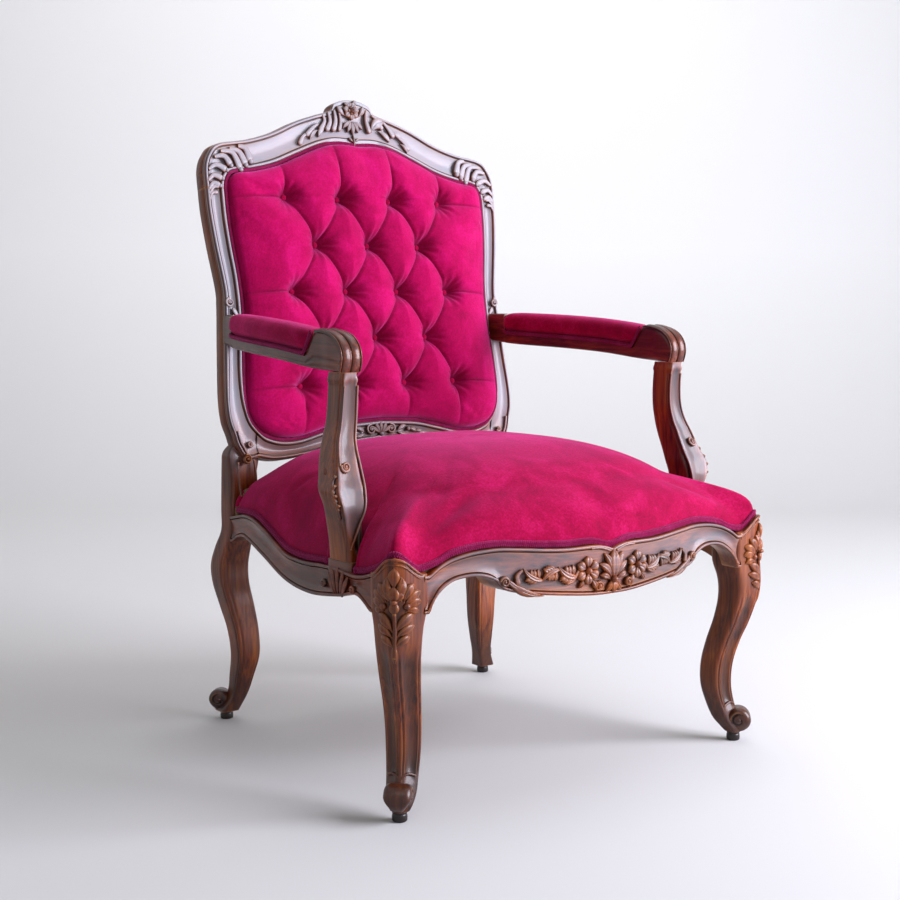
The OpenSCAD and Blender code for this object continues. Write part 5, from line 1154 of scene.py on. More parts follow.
# Arm posts
postLook = {
    "rows": [[0, 0, 0, 1, 1], [0.10, 0.1, 0, 1.04, 1], [0.20, 0.25, 0.04, 1.18, 0.98],
             [0.29, 0.5, -0.12, 1.5, 0.98], [0.375, 0.6, 0.1, 1.71, 1.02], [0.45, 0.4, 0.44, 1.46, 1],
             [0.55, 0, 0.83, 1.25, 0.94], [0.64, -0.43, 1.09, 1.07, 0.83], [0.74, -0.9, 1.15, 1, 0.76],
             [0.87, -1.05, 1.12, 0.93, 0.76], [1, -1, 1, 0.86, 0.80]],
    "hollow": 2.6, "bead": 1.1, "wingBack": 9.0, "reliefFrom": 352, "reliefTo": 586, "wingTop": 466,
    "collar": 580,
}
postRows = curve(postLook["rows"], 12)
postLong = chair["armHeight"] - postSeat
postZ = postSeat + postRows[:, 0] * postLong
postCentres = np.stack([postFootX + postRows[:, 1] * (postFootX - chair["armHalfSpan"]),
                        postY + postRows[:, 2] * (chair["postTopSet"] - chair["postFootSet"]), postZ], axis=1)
postHalfX = postRows[:, 3] * chair["postHalfWidth"]
postHalfY = postRows[:, 4] * chair["postHalfDepth"]


# The front face is hollow between two beads: -h (1 - (x / 0.66)^2)^0.8, and b exp(-((|x| - 0.84) / 0.09)^2)
# for the beads. An incised line runs down the sides and a collar goes round near the top. In the lower part
# the front is set back on the inner side of the wing's edge
def postRelief(x, y, nx, ny):
    fade = smooth((postZ - postLook["reliefFrom"]) / 20) * smooth((postLook["reliefTo"] - postZ) / 8)
    fade = fade[:, None]
    front = smooth((-ny - 0.7) / 0.25)
    hollow = postLook["hollow"] * np.clip(1 - (x / 0.66) ** 2, 0, 1) ** 0.8
    bead = postLook["bead"] * np.exp(-(((np.abs(x) - 0.84) / 0.09) ** 2))
    side = smooth((np.abs(nx) - 0.75) / 0.2)
    line = 0.9 * np.exp(-(((y + 0.72) / 0.06) ** 2))
    wingEdge = np.interp(postZ, [358, 385, 410, 440, 470], [4, -8, -16, -19, -26])[:, None]
    wing = smooth((wingEdge - x * postHalfX[:, None]) / 2.5) * smooth((-ny - 0.2) / 0.5)
    wing = wing * smooth((postLook["wingTop"] - postZ) / 16)[:, None] * smooth((postZ - 340) / 14)[:, None]
    collar = 1.6 * np.exp(-(((postZ - postLook["collar"]) / 4.0) ** 2))[:, None]
    return collar + fade * (front * (bead - hollow) - side * line) - wing * postLook["wingBack"]


postFaceY = postCentres[:, 1] - postHalfY


# Points over the post's front face: x across from its middle, z up
def onPostFront(x, z, h):
    cx = np.interp(z, postZ, postCentres[:, 0])
    cy = np.interp(z, postZ, postCentres[:, 1]) - np.interp(z, postZ, postHalfY)
    slope = (np.interp(z + 2, postZ, postFaceY) - np.interp(z - 2, postZ, postFaceY)) / 4
    size = np.sqrt(1 + slope**2)
    return np.stack([cx + x, cy - h / size, z + h * slope / size], axis=-1)


def onPostSide(y, z, h):
    cx = np.interp(z, postZ, postCentres[:, 0]) + np.interp(z, postZ, postHalfX)
    cy = np.interp(z, postZ, postCentres[:, 1])
    return np.stack([cx + h, cy + y, z], axis=-1)


postFront = joined([
    volute((5, 463), 9.0, 1.45, 20, 4.4, 3.6, -1),
    ridge(bent([[13.5, 465], [13.5, 482], [12, 505], [11, 540], [10, 572]], 60), 1.5, 2.2),
    ridge(bent([[-11, 572], [-12, 520], [-15, 486], [-19, 462], [-21, 436], [-16, 408], [-6, 384], [6, 362],
                [10, 352]], 110), 1.8, 2.4),
])
postLeaf = joined([
    finger([(-24, 452), (-17, 444), (-18, 428)], 8, 4.0),
    finger([(-24, 440), (-17, 432), (-18, 416)], 8, 4.0),
    finger([(-24, 427), (-17, 420), (-18, 404)], 8, 3.8),
    finger([(-24, 414), (-17, 407), (-17, 393)], 7, 3.6),
    boss((4, 456), 4.6, 4.6, 2.2),
])
postShape = joined([squareLoft(postCentres, postHalfX, postHalfY, 6.0, postRelief, 160),
                    placed(postFront, onPostFront), placed(postLeaf, onPostSide)])
addPair("armPost", postShape, walnutUp, 42.0, postPaintedReflection)

# Arms
armLook = {
    "line": [[0.845, -0.1], [0.862, 0], [0.882, 0.077], [0.925, 0.225], [0.968, 0.384], [0.998, 0.566],
             [1.008, 0.748], [1, 0.907], [1, 0.985]],
    "under": [[-0.1, 1.05], [0, 1], [0.13, 0.8], [0.4, 0.6], [0.59, 0.41], [0.78, 0.12], [0.886, 0.03],
              [0.955, 0]],
    "knuckle": [[0.946, 0], [0.954, 0.15], [0.958, 0.34], [0.951, 0.55], [0.930, 0.74], [0.896, 0.88],
                [0.85, 0.96],
                [0.80, 0.985]],
    "padFrom": 0.078, "padTo": 0.795, "padSlant": 0.05, "power": 6.0,
    "ribs": [(-7.6, 6.9, 3.4), (7.6, 6.9, 3.4), (-16.2, 1.2, 1.7), (16.2, 1.2, 1.7)],
}
armRearY = backFaceY + (chair["armHeight"] + chair["armRise"] - chair["backBase"]) * math.tan(rake)
armFrontY = frontY + chair["postTopSet"] - chair["knuckleOut"]
armLong = armRearY - armFrontY
armLine = curve(armLook["line"], 10)
armUnder = curve(armLook["under"], 10)
knuckle = curve(armLook["knuckle"], 14)


def armX(t):
    return chair["armHalfSpan"] * np.interp(t, armLine[:, 1], armLine[:, 0])


def armY(t):
    return armRearY - armLong * t


def armUnderZ(t):
    return chair["armHeight"] + chair["armRise"] * readOff(armUnder, t)


widestKnuckle = int(np.argmax(knuckle[:, 0]))
knuckleLow = knuckle[:widestKnuckle + 1]
knuckleHigh = knuckle[widestKnuckle:][::-1]
knuckleEnd = knuckle[widestKnuckle, 0]
armT = np.concatenate([np.linspace(-0.012, 0.07, 12), np.linspace(0.0745, 0.083, 5),
                       np.linspace(0.10, 0.735, 56),
                       np.linspace(0.745, 0.80, 12), np.linspace(0.812, 0.92, 22),
                       mix(0.92, knuckleEnd, 0.9995 * np.sin(np.linspace(0.06, math.pi / 2, 34)))])
knuckleUnder = chair["knuckleHeight"] * readOff(knuckleLow, armT)
armLow = np.where(armT < knuckle[0, 0], armUnderZ(armT), chair["armHeight"] + knuckleUnder)
rearTop = armUnderZ(0.0) + chair["knuckleHeight"] * 0.84
seatTop = armUnderZ(armT) + chair["armThick"]
knuckleTop = chair["armHeight"] + chair["knuckleHeight"] * readOff(knuckleHigh, armT)
underPad = smooth((armT - 0.0745) / 0.0085) * np.clip((armLook["padTo"] - armT) / armLook["padSlant"], 0, 1)
armHigh = mix(np.where(armT < 0.4, rearTop, knuckleTop), seatTop, underPad)
armHalf = chair["armWidth"] / 2 * (1 + 0.10 * smooth((armT - 0.83) / 0.06))
armAngle = circleSteps(72)
armR = squareRadius(np.cos(armAngle), np.sin(armAngle), armLook["power"])
acrossArm = armR * np.cos(armAngle)
upArm = armR * np.sin(armAngle)
sideLine = -0.8 * np.exp(-(((upArm + 0.45) / 0.12) ** 2)) * (np.abs(acrossArm) > 0.9)
armMid = (armHigh + armLow)[:, None] / 2
armTall = (armHigh - armLow)[:, None] / 2
armRings = np.stack(np.broadcast_arrays(armX(armT)[:, None] + (armHalf[:, None] + sideLine) * acrossArm,
                                        armY(armT)[:, None], armMid + armTall * upArm), axis=2)
knuckleLine = knuckle[::-1]
knuckleY = armY(knuckleLine[:, 0])
knuckleZ = chair["armHeight"] + chair["knuckleHeight"] * knuckleLine[:, 1]
knuckleRun = np.concatenate([[0], np.cumsum(np.hypot(np.diff(knuckleY), np.diff(knuckleZ)))])
knuckleSlopeY = np.gradient(knuckleY, knuckleRun)
knuckleSlopeZ = np.gradient(knuckleZ, knuckleRun)


# A point on the knuckle: u across the arm, v down its rounded front from the pad's end, h out
def onKnuckle(u, v, h):
    y = np.interp(v, knuckleRun, knuckleY)
    z = np.interp(v, knuckleRun, knuckleZ)
    sy = np.interp(v, knuckleRun, knuckleSlopeY)
    sz = np.interp(v, knuckleRun, knuckleSlopeZ)
    return np.stack([armX((armRearY - y) / armLong) + u, y + h * sz, z - h * sy], axis=-1)


knuckleSteps = np.linspace(1.5, knuckleRun[-1] - 0.5, 60)
knuckleEase = smooth((knuckleSteps - 1) / 9) * mix(1, 0.8, smooth((knuckleSteps - 50) / 40))
knuckleRibs = []
for place, half, rise in armLook["ribs"]:
    ribPath = np.stack([np.full(60, place), knuckleSteps], axis=1)
    knuckleRibs.append(ridge(ribPath, half * mix(0.75, 1, knuckleEase), rise * mix(0.3, 1, knuckleEase)))
armShape = joined([loft(armRings), placed(joined(knuckleRibs), onKnuckle)])
addPair("arm", armShape, walnutDeep)
print("stage: arms made")


clothLook = {"quality": 5, "mass": 0.3, "tension_stiffness": 12, "compression_stiffness": 12,
             "bending_stiffness": 1.2, "use_pressure": True}


# Blows a sheet or form up a little with Blender's Cloth: pressure along its normals, no gravity, its pinned
# points held, and no point moved further than the cap. Points come in and go out in millimetres
def settle(points, quads, tris, pinned, pressure, cap, frames=20):
    mesh = bpy.data.meshes.new("settling")
    mesh.from_pydata((points * 0.001).tolist(), [], quads.tolist() + tris.tolist())
    mesh.update()
    cloth = bpy.data.objects.new("settling", mesh)
    bpy.context.scene.collection.objects.link(cloth)
    held = cloth.vertex_groups.new(name="held")
    held.add([int(i) for i in np.nonzero(pinned)[0]], 1.0, "REPLACE")
    modifier = cloth.modifiers.new("Cloth", "CLOTH")
    settings = modifier.settings
    settings.vertex_group_mass = "held"
    for key, value in clothLook.items():
        setattr(settings, key, value)
    settings.uniform_pressure_force = pressure
    settings.effector_weights.gravity = 0
    modifier.point_cache.frame_start = 1
    modifier.point_cache.frame_end = frames
    for step in range(1, frames + 1):
        bpy.context.scene.frame_set(step)
    graph = bpy.context.evaluated_depsgraph_get()
    result = cloth.evaluated_get(graph).to_mesh()
    moved = np.zeros(len(points) * 3, np.float32)
    result.vertices.foreach_get("co", moved)
    moved = moved.reshape(-1, 3) * 1000.0 - points
    cloth.evaluated_get(graph).to_mesh_clear()
    bpy.data.objects.remove(cloth)
    bpy.context.scene.frame_set(1)
    far = np.linalg.norm(moved, axis=1, keepdims=True)
    print("settled", len(points), "points, furthest mm", round(float(far.max()), 1))
    return points + moved * np.minimum(1, cap / np.maximum(far, 1e-6)) * (1 - pinned[:, None])


# Quads of an open grid of rows and columns
def gridQuads(rows, cols, ring=False):
    r = np.arange(rows - 1)[:, None]
    c = np.arange(cols if ring else cols - 1)[None, :]
    after = (c + 1) % cols
    return np.stack([r * cols + c, r * cols + after, (r + 1) * cols + after, (r + 1) * cols + c],
                    axis=-1).reshape(-1, 4)


# The mean direction of the faces round each point
def pointNormals(points, quads, tris):
    faces = np.vstack([quads[:, [0, 1, 2]], quads[:, [0, 2, 3]], tris])
    n = np.cross(points[faces[:, 1]] - points[faces[:, 0]], points[faces[:, 2]] - points[faces[:, 0]])
    total = [sum(np.bincount(faces[:, k], n[:, axis], len(points)) for k in range(3)) for axis in range(3)]
    return unit(np.stack(total, axis=1))


# Seat cover: the edge of the velvet, right half, from the front middle to the back middle
seatLook = {
    "front": [0, 0.12, 0.26, 0.4, 0.52, 0.64, 0.76, 0.87, 0.95],
    "knee": [[300, -310.5], [312, -311], [323, -311], [332, -310], [338, -306], [339.5, -298], [339.5, -288],
             [339, -274]],
    "side": [0.04, 0.07, 0.09, 0.104, 0.121, 0.145, 0.186, 0.227, 0.251, 0.268, 0.29, 0.35, 0.45, 0.56, 0.68,
             0.8, 0.92],
    "rear": [[1.01, -0.30], [0.93, -0.36], [0.0, -0.38], [-0.26, -0.15], [-0.32, 0.6], [-0.7, 1.52]],
    "rearMiddle": [0.55, 0.28, 0], "gap": 0.3, "tackTop": 343.3, "thick": 4.6, "rings": 46, "cap": 5.0,
    "pressure": 2.0,
    "stuffing": 20.0, "hessian": 1.2, "notch": 0.12, "square": 3.2,
}
postEdgeX = postFootX - chair["postHalfWidth"] * 1.05 - 2.6 - 2 * seatLook["gap"]


def seatEdge():
    points = []
    for t in seatLook["front"]:
        x = t * railHalf
        points.append([x, frontFaceY(x) + chair["coverInset"], readOff(frontTop, x) + seatLook["gap"]])
    for x, y in seatLook["knee"]:
        points.append([x, y, float(kneeTop(x, y)) + seatLook["gap"]])
    for t in seatLook["side"]:
        y = sideFrontY + t * sideLength
        near = smooth((chair["postHalfDepth"] * 1.5 - abs(y - postY)) / (chair["postHalfDepth"] * 0.3))
        railTop = readOff(sideTop, y - sideFrontY)
        points.append([mix(sideOuterX(y) - chair["coverInset"], postEdgeX, near), y,
                       mix(railTop, seatLook["tackTop"], near) + seatLook["gap"]])
    for kx, ky in seatLook["rear"]:
        points.append([rearRailHalf + kx * chair["halfRear"] * 1.6, sideRearY + ky * chair["halfRear"],
                       chair["railHeight"] + seatLook["gap"]])
    for t in seatLook["rearMiddle"]:
        points.append([t * rearRailHalf, rearRailY + rearRailLook["thick"] - chair["coverInset"],
                       chair["railHeight"] + seatLook["gap"]])
    right = np.array(points, float)
    return np.vstack([right, (right * [-1, 1, 1])[::-1][1:-1]])


def closedCurve(points, steps):
    p = np.asarray(points, float)
    n = len(p)
    return curve(np.vstack([p[-1:], p, p[:2]]), steps)[steps:steps * (n + 1)]


seatRim = closedCurve(seatEdge(), 6)
crownY = -chair["footDepth"] * 0.02
smoothHalfX = (sideFrontX + sideRearX) / 2 - chair["coverInset"]
smoothHalfY = (rearRailY + rearRailLook["thick"] - railFrontY) / 2


# Even directions from the crown for the edge points: their turning is averaged over a window of neighbours
def evenDirections(v, window=75):
    angle = np.unwrap(np.arctan2(v[:, 1], v[:, 0]))
    full = 2 * math.pi * np.sign(angle[-1] - angle[0])
    steps = np.diff(angle, append=angle[0] + full)
    weight = np.hanning(window + 2)[1:-1]
    steps = np.convolve(np.tile(steps, 3), weight / weight.sum(), "same")[len(v):2 * len(v)]
    even = np.concatenate([[0], np.cumsum(steps)[:-1]])
    return even + (angle - even).mean()


# The dome: each edge point is drawn to the crown by t, its plan turning into a squared oval, and its
# height is low + (crown - low) (1 - (1 - t)^p)^(1/p)
def seatDome(rim, t):
    t = np.asarray(t)[:, None]
    v = np.stack([rim[:, 0] / smoothHalfX, (rim[:, 1] - crownY) / smoothHalfY], axis=1)
    even = evenDirections(v)
    size = squareRadius(np.cos(even), np.sin(even), seatLook["square"])
    k = smooth(t / seatLook["notch"])
    x = mix(rim[:, 0], smoothHalfX * size * np.cos(even), k) * (1 - t)
    y = crownY + mix(rim[:, 1] - crownY, smoothHalfY * size * np.sin(even), k) * (1 - t)
    low = mix(rim[:, 2], chair["railHeight"], k)
    forward = smooth((-rim[:, 1] - 150) / 150) * (1 - smooth((np.abs(rim[:, 0]) - 200) / 120))
    power = mix(2.3, 2.55, forward)
    z = low + (chair["crownHeight"] - low) * np.maximum(1 - (1 - t) ** power, 0) ** (1 / power)
    return np.stack([x, y, z], axis=2)


turnInLook = {"near": 1.55, "outer": 1.4, "inner": 3.4, "lowest": 318, "clear": 0.4, "lap": 1.5, "least": 0.6,
              "rayFrom": 0.36}


# The height in millimetres of the highest of some CAD nodes under a point, looking down from the seat's edge
def topUnder(trees, x, y, low):
    highest = low
    for tree in trees:
        place = tree.ray_cast(Vector((x / 1000, (y + centreShift) / 1000, turnInLook["rayFrom"])),
                              Vector((0, 0, -1)))[0]
        if place is not None:
            highest = max(highest, place[2] * 1000)
    return highest


# The cover's edge is turned in round each arm post: a strip hangs from the edge to the rail's top
def coverTurnIn(side):
    trees = []
    for name in ("side_seat_rail_" + ("right" if side > 0 else "left"), "seat_webbing", "webbing_tacks"):
        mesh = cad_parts[name].data
        trees.append(BVHTree.FromPolygons([v.co for v in mesh.vertices], [f.vertices for f in mesh.polygons]))
    near = abs(seatRim[:, 1] - postY) < chair["postHalfDepth"] * turnInLook["near"]
    path = seatRim[near & (seatRim[:, 0] * side > 200)]
    inward = acrossPath(path[:, :2])
    outer = path[:, :2] + inward * turnInLook["outer"]
    inner = path[:, :2] + inward * turnInLook["inner"]
    low = np.array([topUnder(trees, x, y, turnInLook["lowest"]) for x, y in (outer + inner) / 2])
    low = low + turnInLook["clear"]
    print("stage: cover turned in round a post, from", round(low.min(), 1), "to", round(low.max(), 1))
    high = np.maximum(path[:, 2] + turnInLook["lap"], low + turnInLook["least"])
    rings = np.stack([np.column_stack([outer, low]), np.column_stack([outer, high]),
                      np.column_stack([inner, high]), np.column_stack([inner, low])], axis=1)
    return loft(rings)


def seatCoverShape():
    t = np.linspace(0, 1, seatLook["rings"] + 1)[:-1] ** 1.7
    rows = seatDome(seatRim, t)
    n, m = rows.shape[:2]
    points = np.vstack([rows.reshape(-1, 3), [[0, crownY, chair["crownHeight"]]]])
    quads = gridQuads(n, m, True)
    k = np.arange(m)
    tris = np.stack([(n - 1) * m + k, (n - 1) * m + (k + 1) % m, np.full(m, n * m)], axis=1)
    if pointNormals(points, quads, tris)[-1, 2] < 0:
        quads = quads[:, ::-1]
        tris = tris[:, ::-1]
    pinned = np.zeros(len(points))
    pinned[:2 * m] = 1
    points = settle(points, quads, tris, pinned, seatLook["pressure"], seatLook["cap"])
    inner = points - pointNormals(points, quads, tris) * seatLook["thick"]
    count = len(points)
    rim = np.stack([k, (k + 1) % m, count + (k + 1) % m, count + k], axis=1)
    faces = np.vstack([quads, quads[:, ::-1] + count, rim[:, ::-1]])
    fans = np.vstack([tris, tris[:, ::-1] + count])
    cover = outward(shapeOf(np.vstack([points, inner]), faces, fans))
    cover = joined([cover, coverTurnIn(1), coverTurnIn(-1)])
    depth = np.append(np.repeat(mix(4.0, seatLook["stuffing"], smooth((t - 0.3) / 0.4)), m),
                      seatLook["stuffing"])
    layers = [inner - [0, 0, seatLook["gap"]]]
    for thick in (depth[:, None], seatLook["gap"], seatLook["hessian"]):
        layers.append(layers[-1] - thick * np.array([0, 0, 1]))
    stuffing = outward(shapeOf(np.vstack(layers[:2]), faces, fans))
    return cover, stuffing, outward(shapeOf(np.vstack(layers[2:]), faces, fans))


coverForm, stuffingForm, hessianForm = seatCoverShape()
seatCover = addPiece("seatCover", coverForm, velvetPaintedDarker, "seat_cover", 70.0)
addPiece("seatStuffing", stuffingForm, hair, "seat_stuffing", 70.0)
addPiece("seatHessian", hessianForm, hessian, "seat_hessian", 70.0)
print("stage: seat cover made")


def alongRun(values, run, at, closed):
    if closed:
        values = np.vstack([values, values[:1]])
    return np.stack([np.interp(at, run, values[:, k]) for k in range(3)], axis=1)


# Three strands that cross over one another along a path: across = w sin(a + 120 k), and height =
# h sin(2 (a + 120 k))
def braidAlong(path, side, up, width, pitch, strand, closed=True, sides=6):
    path = np.asarray(path, float)
    whole = np.vstack([path, path[:1]]) if closed else path
    run = np.concatenate([[0], np.cumsum(np.linalg.norm(np.diff(whole, axis=0), axis=1))])
    cycles = max(int(round(run[-1] / pitch)), 1)
    count = cycles * 10 + (0 if closed else 1)
    at = np.linspace(0, run[-1], count, endpoint=not closed)
    p, s, u = [alongRun(values, run, at, closed) for values in (path, side, up)]
    angle = at / run[-1] * cycles * 2 * math.pi
    turn = circleSteps(sides)
    parts = []
    for k in range(3):
        a = angle + k * 2 * math.pi / 3
        over = strand * 0.55 * np.sin(2 * a)
        centre = p + s * ((width / 2 - strand) * np.sin(a))[:, None] + u * over[:, None]
        d = np.gradient(centre, axis=0)
        if closed:
            d = np.roll(centre, -1, axis=0) - np.roll(centre, 1, axis=0)
        d = unit(d)
        b = unit(np.cross(d, u))
        n = np.cross(b, d)
        away = b[:, None, :] * np.cos(turn)[:, :, None] + n[:, None, :] * np.sin(turn)[:, :, None]
        parts.append(loft(centre[:, None, :] + strand * away, closed=closed))
    return joined(parts)


# A flat tape under the braid, as a closed band
def tape(path, side, up, width, thick, closed=True):
    corners = [(-0.5, 0), (0.5, 0), (0.5, 1), (-0.5, 1)]
    rings = np.stack([path + side * width * a + up * thick * b for a, b in corners], axis=1)
    return loft(rings, closed=closed)


def gimp(path, side, up, width, closed=True):
    return joined([tape(path, side, up, width * 0.94, 0.9, closed),
                   braidAlong(path + up * 1.2, side, up, width, width * 0.95, width * 0.17, closed)])


# Seat gimp, standing on the rails outside the velvet's edge
def edgeNormals(path):
    d = np.roll(path, -1, axis=0) - np.roll(path, 1, axis=0)
    n = unit(np.stack([d[:, 1], -d[:, 0], np.zeros(len(path))], axis=1))
    outside = np.einsum("ij,ij->i", n[:, :2], path[:, :2] - path[:, :2].mean(axis=0)).sum() > 0
    return n if outside else -n


denseRim = closedCurve(seatEdge(), 12)
rimOut = edgeNormals(denseRim)
upright = np.tile([0, 0, 1.0], (len(denseRim), 1))
seatGimpPath = denseRim + rimOut * 0.4 + upright * chair["gimpHeight"] / 2
addPiece("seatGimp", gimp(seatGimpPath, upright, rimOut, chair["gimpHeight"]), braid, "seat_gimp",
         60.0)

# Arm pads
padLook = {"ends": [[0, 0.74], [0.012, 0.84], [0.03, 0.92], [0.07, 0.985], [0.15, 1], [0.5, 1], [0.85, 1],
                    [0.93, 0.985],
                    [0.97, 0.92], [0.988, 0.84], [1, 0.74]], "gap": 0.3, "cap": 5.0, "pressure": 3.0,
                    "sides": 56}
padT = np.concatenate([np.linspace(0, 0.03, 5), np.linspace(0.045, 0.955, 46), np.linspace(0.97, 1, 5)])
padScale = readOff(np.array(padLook["ends"]), padT)[:, None]
padAlong = mix(armLook["padFrom"] + 0.002, armLook["padTo"] - 0.002, padT)
padTurn = circleSteps(padLook["sides"])
padUp = (1 + np.sign(np.sin(padTurn)) * np.abs(np.sin(padTurn)) ** (2 / 3.0)) / 2
padDraw = mix(0.70, 1, smooth(padUp * 2.6))
padCos = np.sign(np.cos(padTurn)) * np.abs(np.cos(padTurn)) ** (2 / 2.8)
padAt = padAlong[:, None] + armLook["padSlant"] * smooth((padAlong[:, None] - 0.55) / 0.24) * (padUp - 1)
padX = armX(padAt) + (chair["padWidth"] / 2 - 1.0) * padScale * padDraw * padCos
padBase = armUnderZ(padAt) + chair["armThick"] + padLook["gap"]
padZ = padBase + (chair["padHeight"] - 1.5) * mix(1, padScale, 0.6) * padUp
padRings = np.stack(np.broadcast_arrays(padX, armY(padAt), padZ), axis=2)
padForm = loft(padRings)
padHeld = (np.broadcast_to(padUp, padX.shape) < 0.16).astype(float)
padHeld[[0, -1]] = 1
padHeld = np.append(padHeld, [1, 1])
padForm["p"] = settle(padForm["p"], padForm["q"], padForm["t"], padHeld, padLook["pressure"], padLook["cap"])
for piece in addPair("armPad", padForm, velvetPaintedDarker, 70.0):
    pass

# Arm gimps, along both sides of the wood under the pads
gimpT = np.linspace(armLook["padFrom"] + 0.004, armLook["padTo"] - 0.004, 90)
gimpZ = np.interp(gimpT, armT, armHigh) + 0.6
armGimpParts = []
for side in (-1, 1):
    path = np.stack([armX(gimpT) + side * (chair["armWidth"] / 2 + 1.4), armY(gimpT), gimpZ], axis=1)
    away = np.tile([side, 0.0, 0.0], (len(path), 1))
    above = np.tile([0.0, 0.0, 1.0], (len(path), 1))
    armGimpParts.append(gimp(path, above, away, chair["gimpHeight"] * 0.7, False))
armGimp = joined(armGimpParts)
addPiece("armGimps", joined([armGimp, mirrored(armGimp)]), braid, "arm_gimps", 60.0)
print("stage: pads and gimps made")

# The back's opening
openingSide = np.vstack([onFrame("lowerTop")[:1], onFrame("stileIn")[1:],
                         onFrame("crestIn")[onFrame("crestIn")[:, 1] < backLength * 0.7735][1:]])
openingFoot = np.vstack([onFrame("lowerTop")[::-1],
                         onFrame("stileIn")[onFrame("stileIn")[:, 1] < backLength * 0.18]])


def openingHalf(s):
    return np.interp(s, openingSide[:, 1], openingSide[:, 0])


def openingTop(x):
    return readOff(onFrame("crestIn")[::-1], np.abs(x))


def openingLow(x):
    return readOff(openingFoot, np.abs(x))


def openingGrid(cols, rows, gap):
    u = np.linspace(-1, 1, cols)[None, :]
    v = np.linspace(0, 1, rows)[:, None]
    w = np.full_like(v, 200.0)
    for _ in range(12):
        w = openingHalf(mix(openingLow(w), openingTop(w), v))
    x = u * (w - gap)
    s = mix(openingLow(x) + gap, openingTop(x) - gap, v)
    return u, v, x, s


# Back pad: the plain crowned pad is blown up first, then drawn down at its buttons and along its folds
backLook = {"cols": 250, "rows": 330, "simCols": 51, "simRows": 67, "edge": 1.95, "back": -8.9, "gap": 0.9,
            "cap": 6.0, "pressure": 2.0, "foldReach": 43.0, "pleatReach": 30.0, "seed": 7}
tuftMid = backLength * 0.453
tufts = np.array([[m * chair["tuftPitch"], tuftMid + k * chair["tuftRow"]]
                  for k in range(-2, 3) for m in ([-1.5, -0.5, 0.5, 1.5] if k % 2 == 0 else [-1, 0, 1])])


def foldLines():
    lines = []
    for a in tufts:
        for b in tufts:
            step = b - a
            if abs(step[1] - chair["tuftRow"]) < 1 and abs(abs(step[0]) - chair["tuftPitch"] / 2) < 1:
                lines.append((a, b))
    return lines


# Distance to a segment and the share along it
def toSegment(x, s, a, b):
    d = b - a
    t = np.clip(((x - a[0]) * d[0] + (s - a[1]) * d[1]) / (d @ d), 0, 1)
    return np.hypot(x - a[0] - d[0] * t, s - a[1] - d[1] * t), t


# How full the pad is, and how much painted shade each point gets in the folds and dimples. Fullness is
# (1 - folds) (1 - dimples), less a narrow slit along each fold, with fine gathers round each button. A fold
# is d (1 - distance / reach)^2.2 with a shorter reach above it, so the upper diamond hangs over, a pleat to
# the border has the power 2.6, and a dimple is 0.68 exp(-(r / 15)^2) + 0.16 exp(-r / 26)
def tuftFullness(x, s):
    drawn = np.zeros_like(x)
    slit = np.zeros_like(x)
    for a, b in foldLines():
        d, t = toSegment(x, s, a, b)
        depth = 0.36 + 0.2 * np.abs(2 * t - 1) ** 2
        above = s > mix(a[1], b[1], np.clip((x - a[0]) / (b[0] - a[0]), 0, 1))
        reach = backLook["foldReach"] * np.where(above, 0.78, 1.12)
        drawn = np.maximum(drawn, depth * np.clip(1 - d / reach, 0, 1) ** 2.2)
        slit = np.maximum(slit, np.exp(-((d / 2.2) ** 2)))
    top = tufts[:, 1].max()
    low = tufts[:, 1].min()
    for tx, ts in tufts:
        ways = []
        if ts > top - 1:
            ways.append((tx * 1.02, backLength))
        if ts < low + 1:
            ways.append((tx * 1.02, 0))
        if abs(tx) > 1.4 * chair["tuftPitch"]:
            ways.append((math.copysign(chair["backHalfWidth"], tx), ts - 6))
        for wx, ws in ways:
            d, t = toSegment(x, s, np.array([tx, ts]), np.array([wx, ws]))
            fade = 1 - smooth(t * 1.1)
            depth = (0.28 + 0.2 * np.exp(-t * 10)) * mix(0.5, 1, fade)
            drawn = np.maximum(drawn, depth * np.clip(1 - d / backLook["pleatReach"], 0, 1) ** 2.6)
            slit = np.maximum(slit, mix(0.4, 1, fade) * np.exp(-((d / 2.2) ** 2)))
    dimple = np.zeros_like(x)
    ripple = np.zeros_like(x)
    for k, (tx, ts) in enumerate(tufts):
        r = np.hypot(x - tx, s - ts)
        angle = np.arctan2(s - ts, x - tx)
        dimple = np.maximum(dimple, 0.68 * np.exp(-((r / 15) ** 2)) + 0.16 * np.exp(-r / 26))
        ripple += np.cos(11 * angle + 2.1 * k) * np.exp(-(((r - 18) / 12) ** 2)) * 0.03
    return (1 - drawn) * (1 - dimple) - 0.05 * slit + ripple, np.maximum(0.85 * slit, 1.1 * dimple)


# Slow unevenness of hand stuffing: a few seeded cosines
def handmade(x, s, seed, reach):
    rng = np.random.default_rng(seed)
    total = 0
    for _ in range(6):
        kx, ks = rng.normal(0, 1 / reach, 2)
        total = total + np.cos(kx * x + ks * s + rng.uniform(0, 6.28)) / 6
    return total


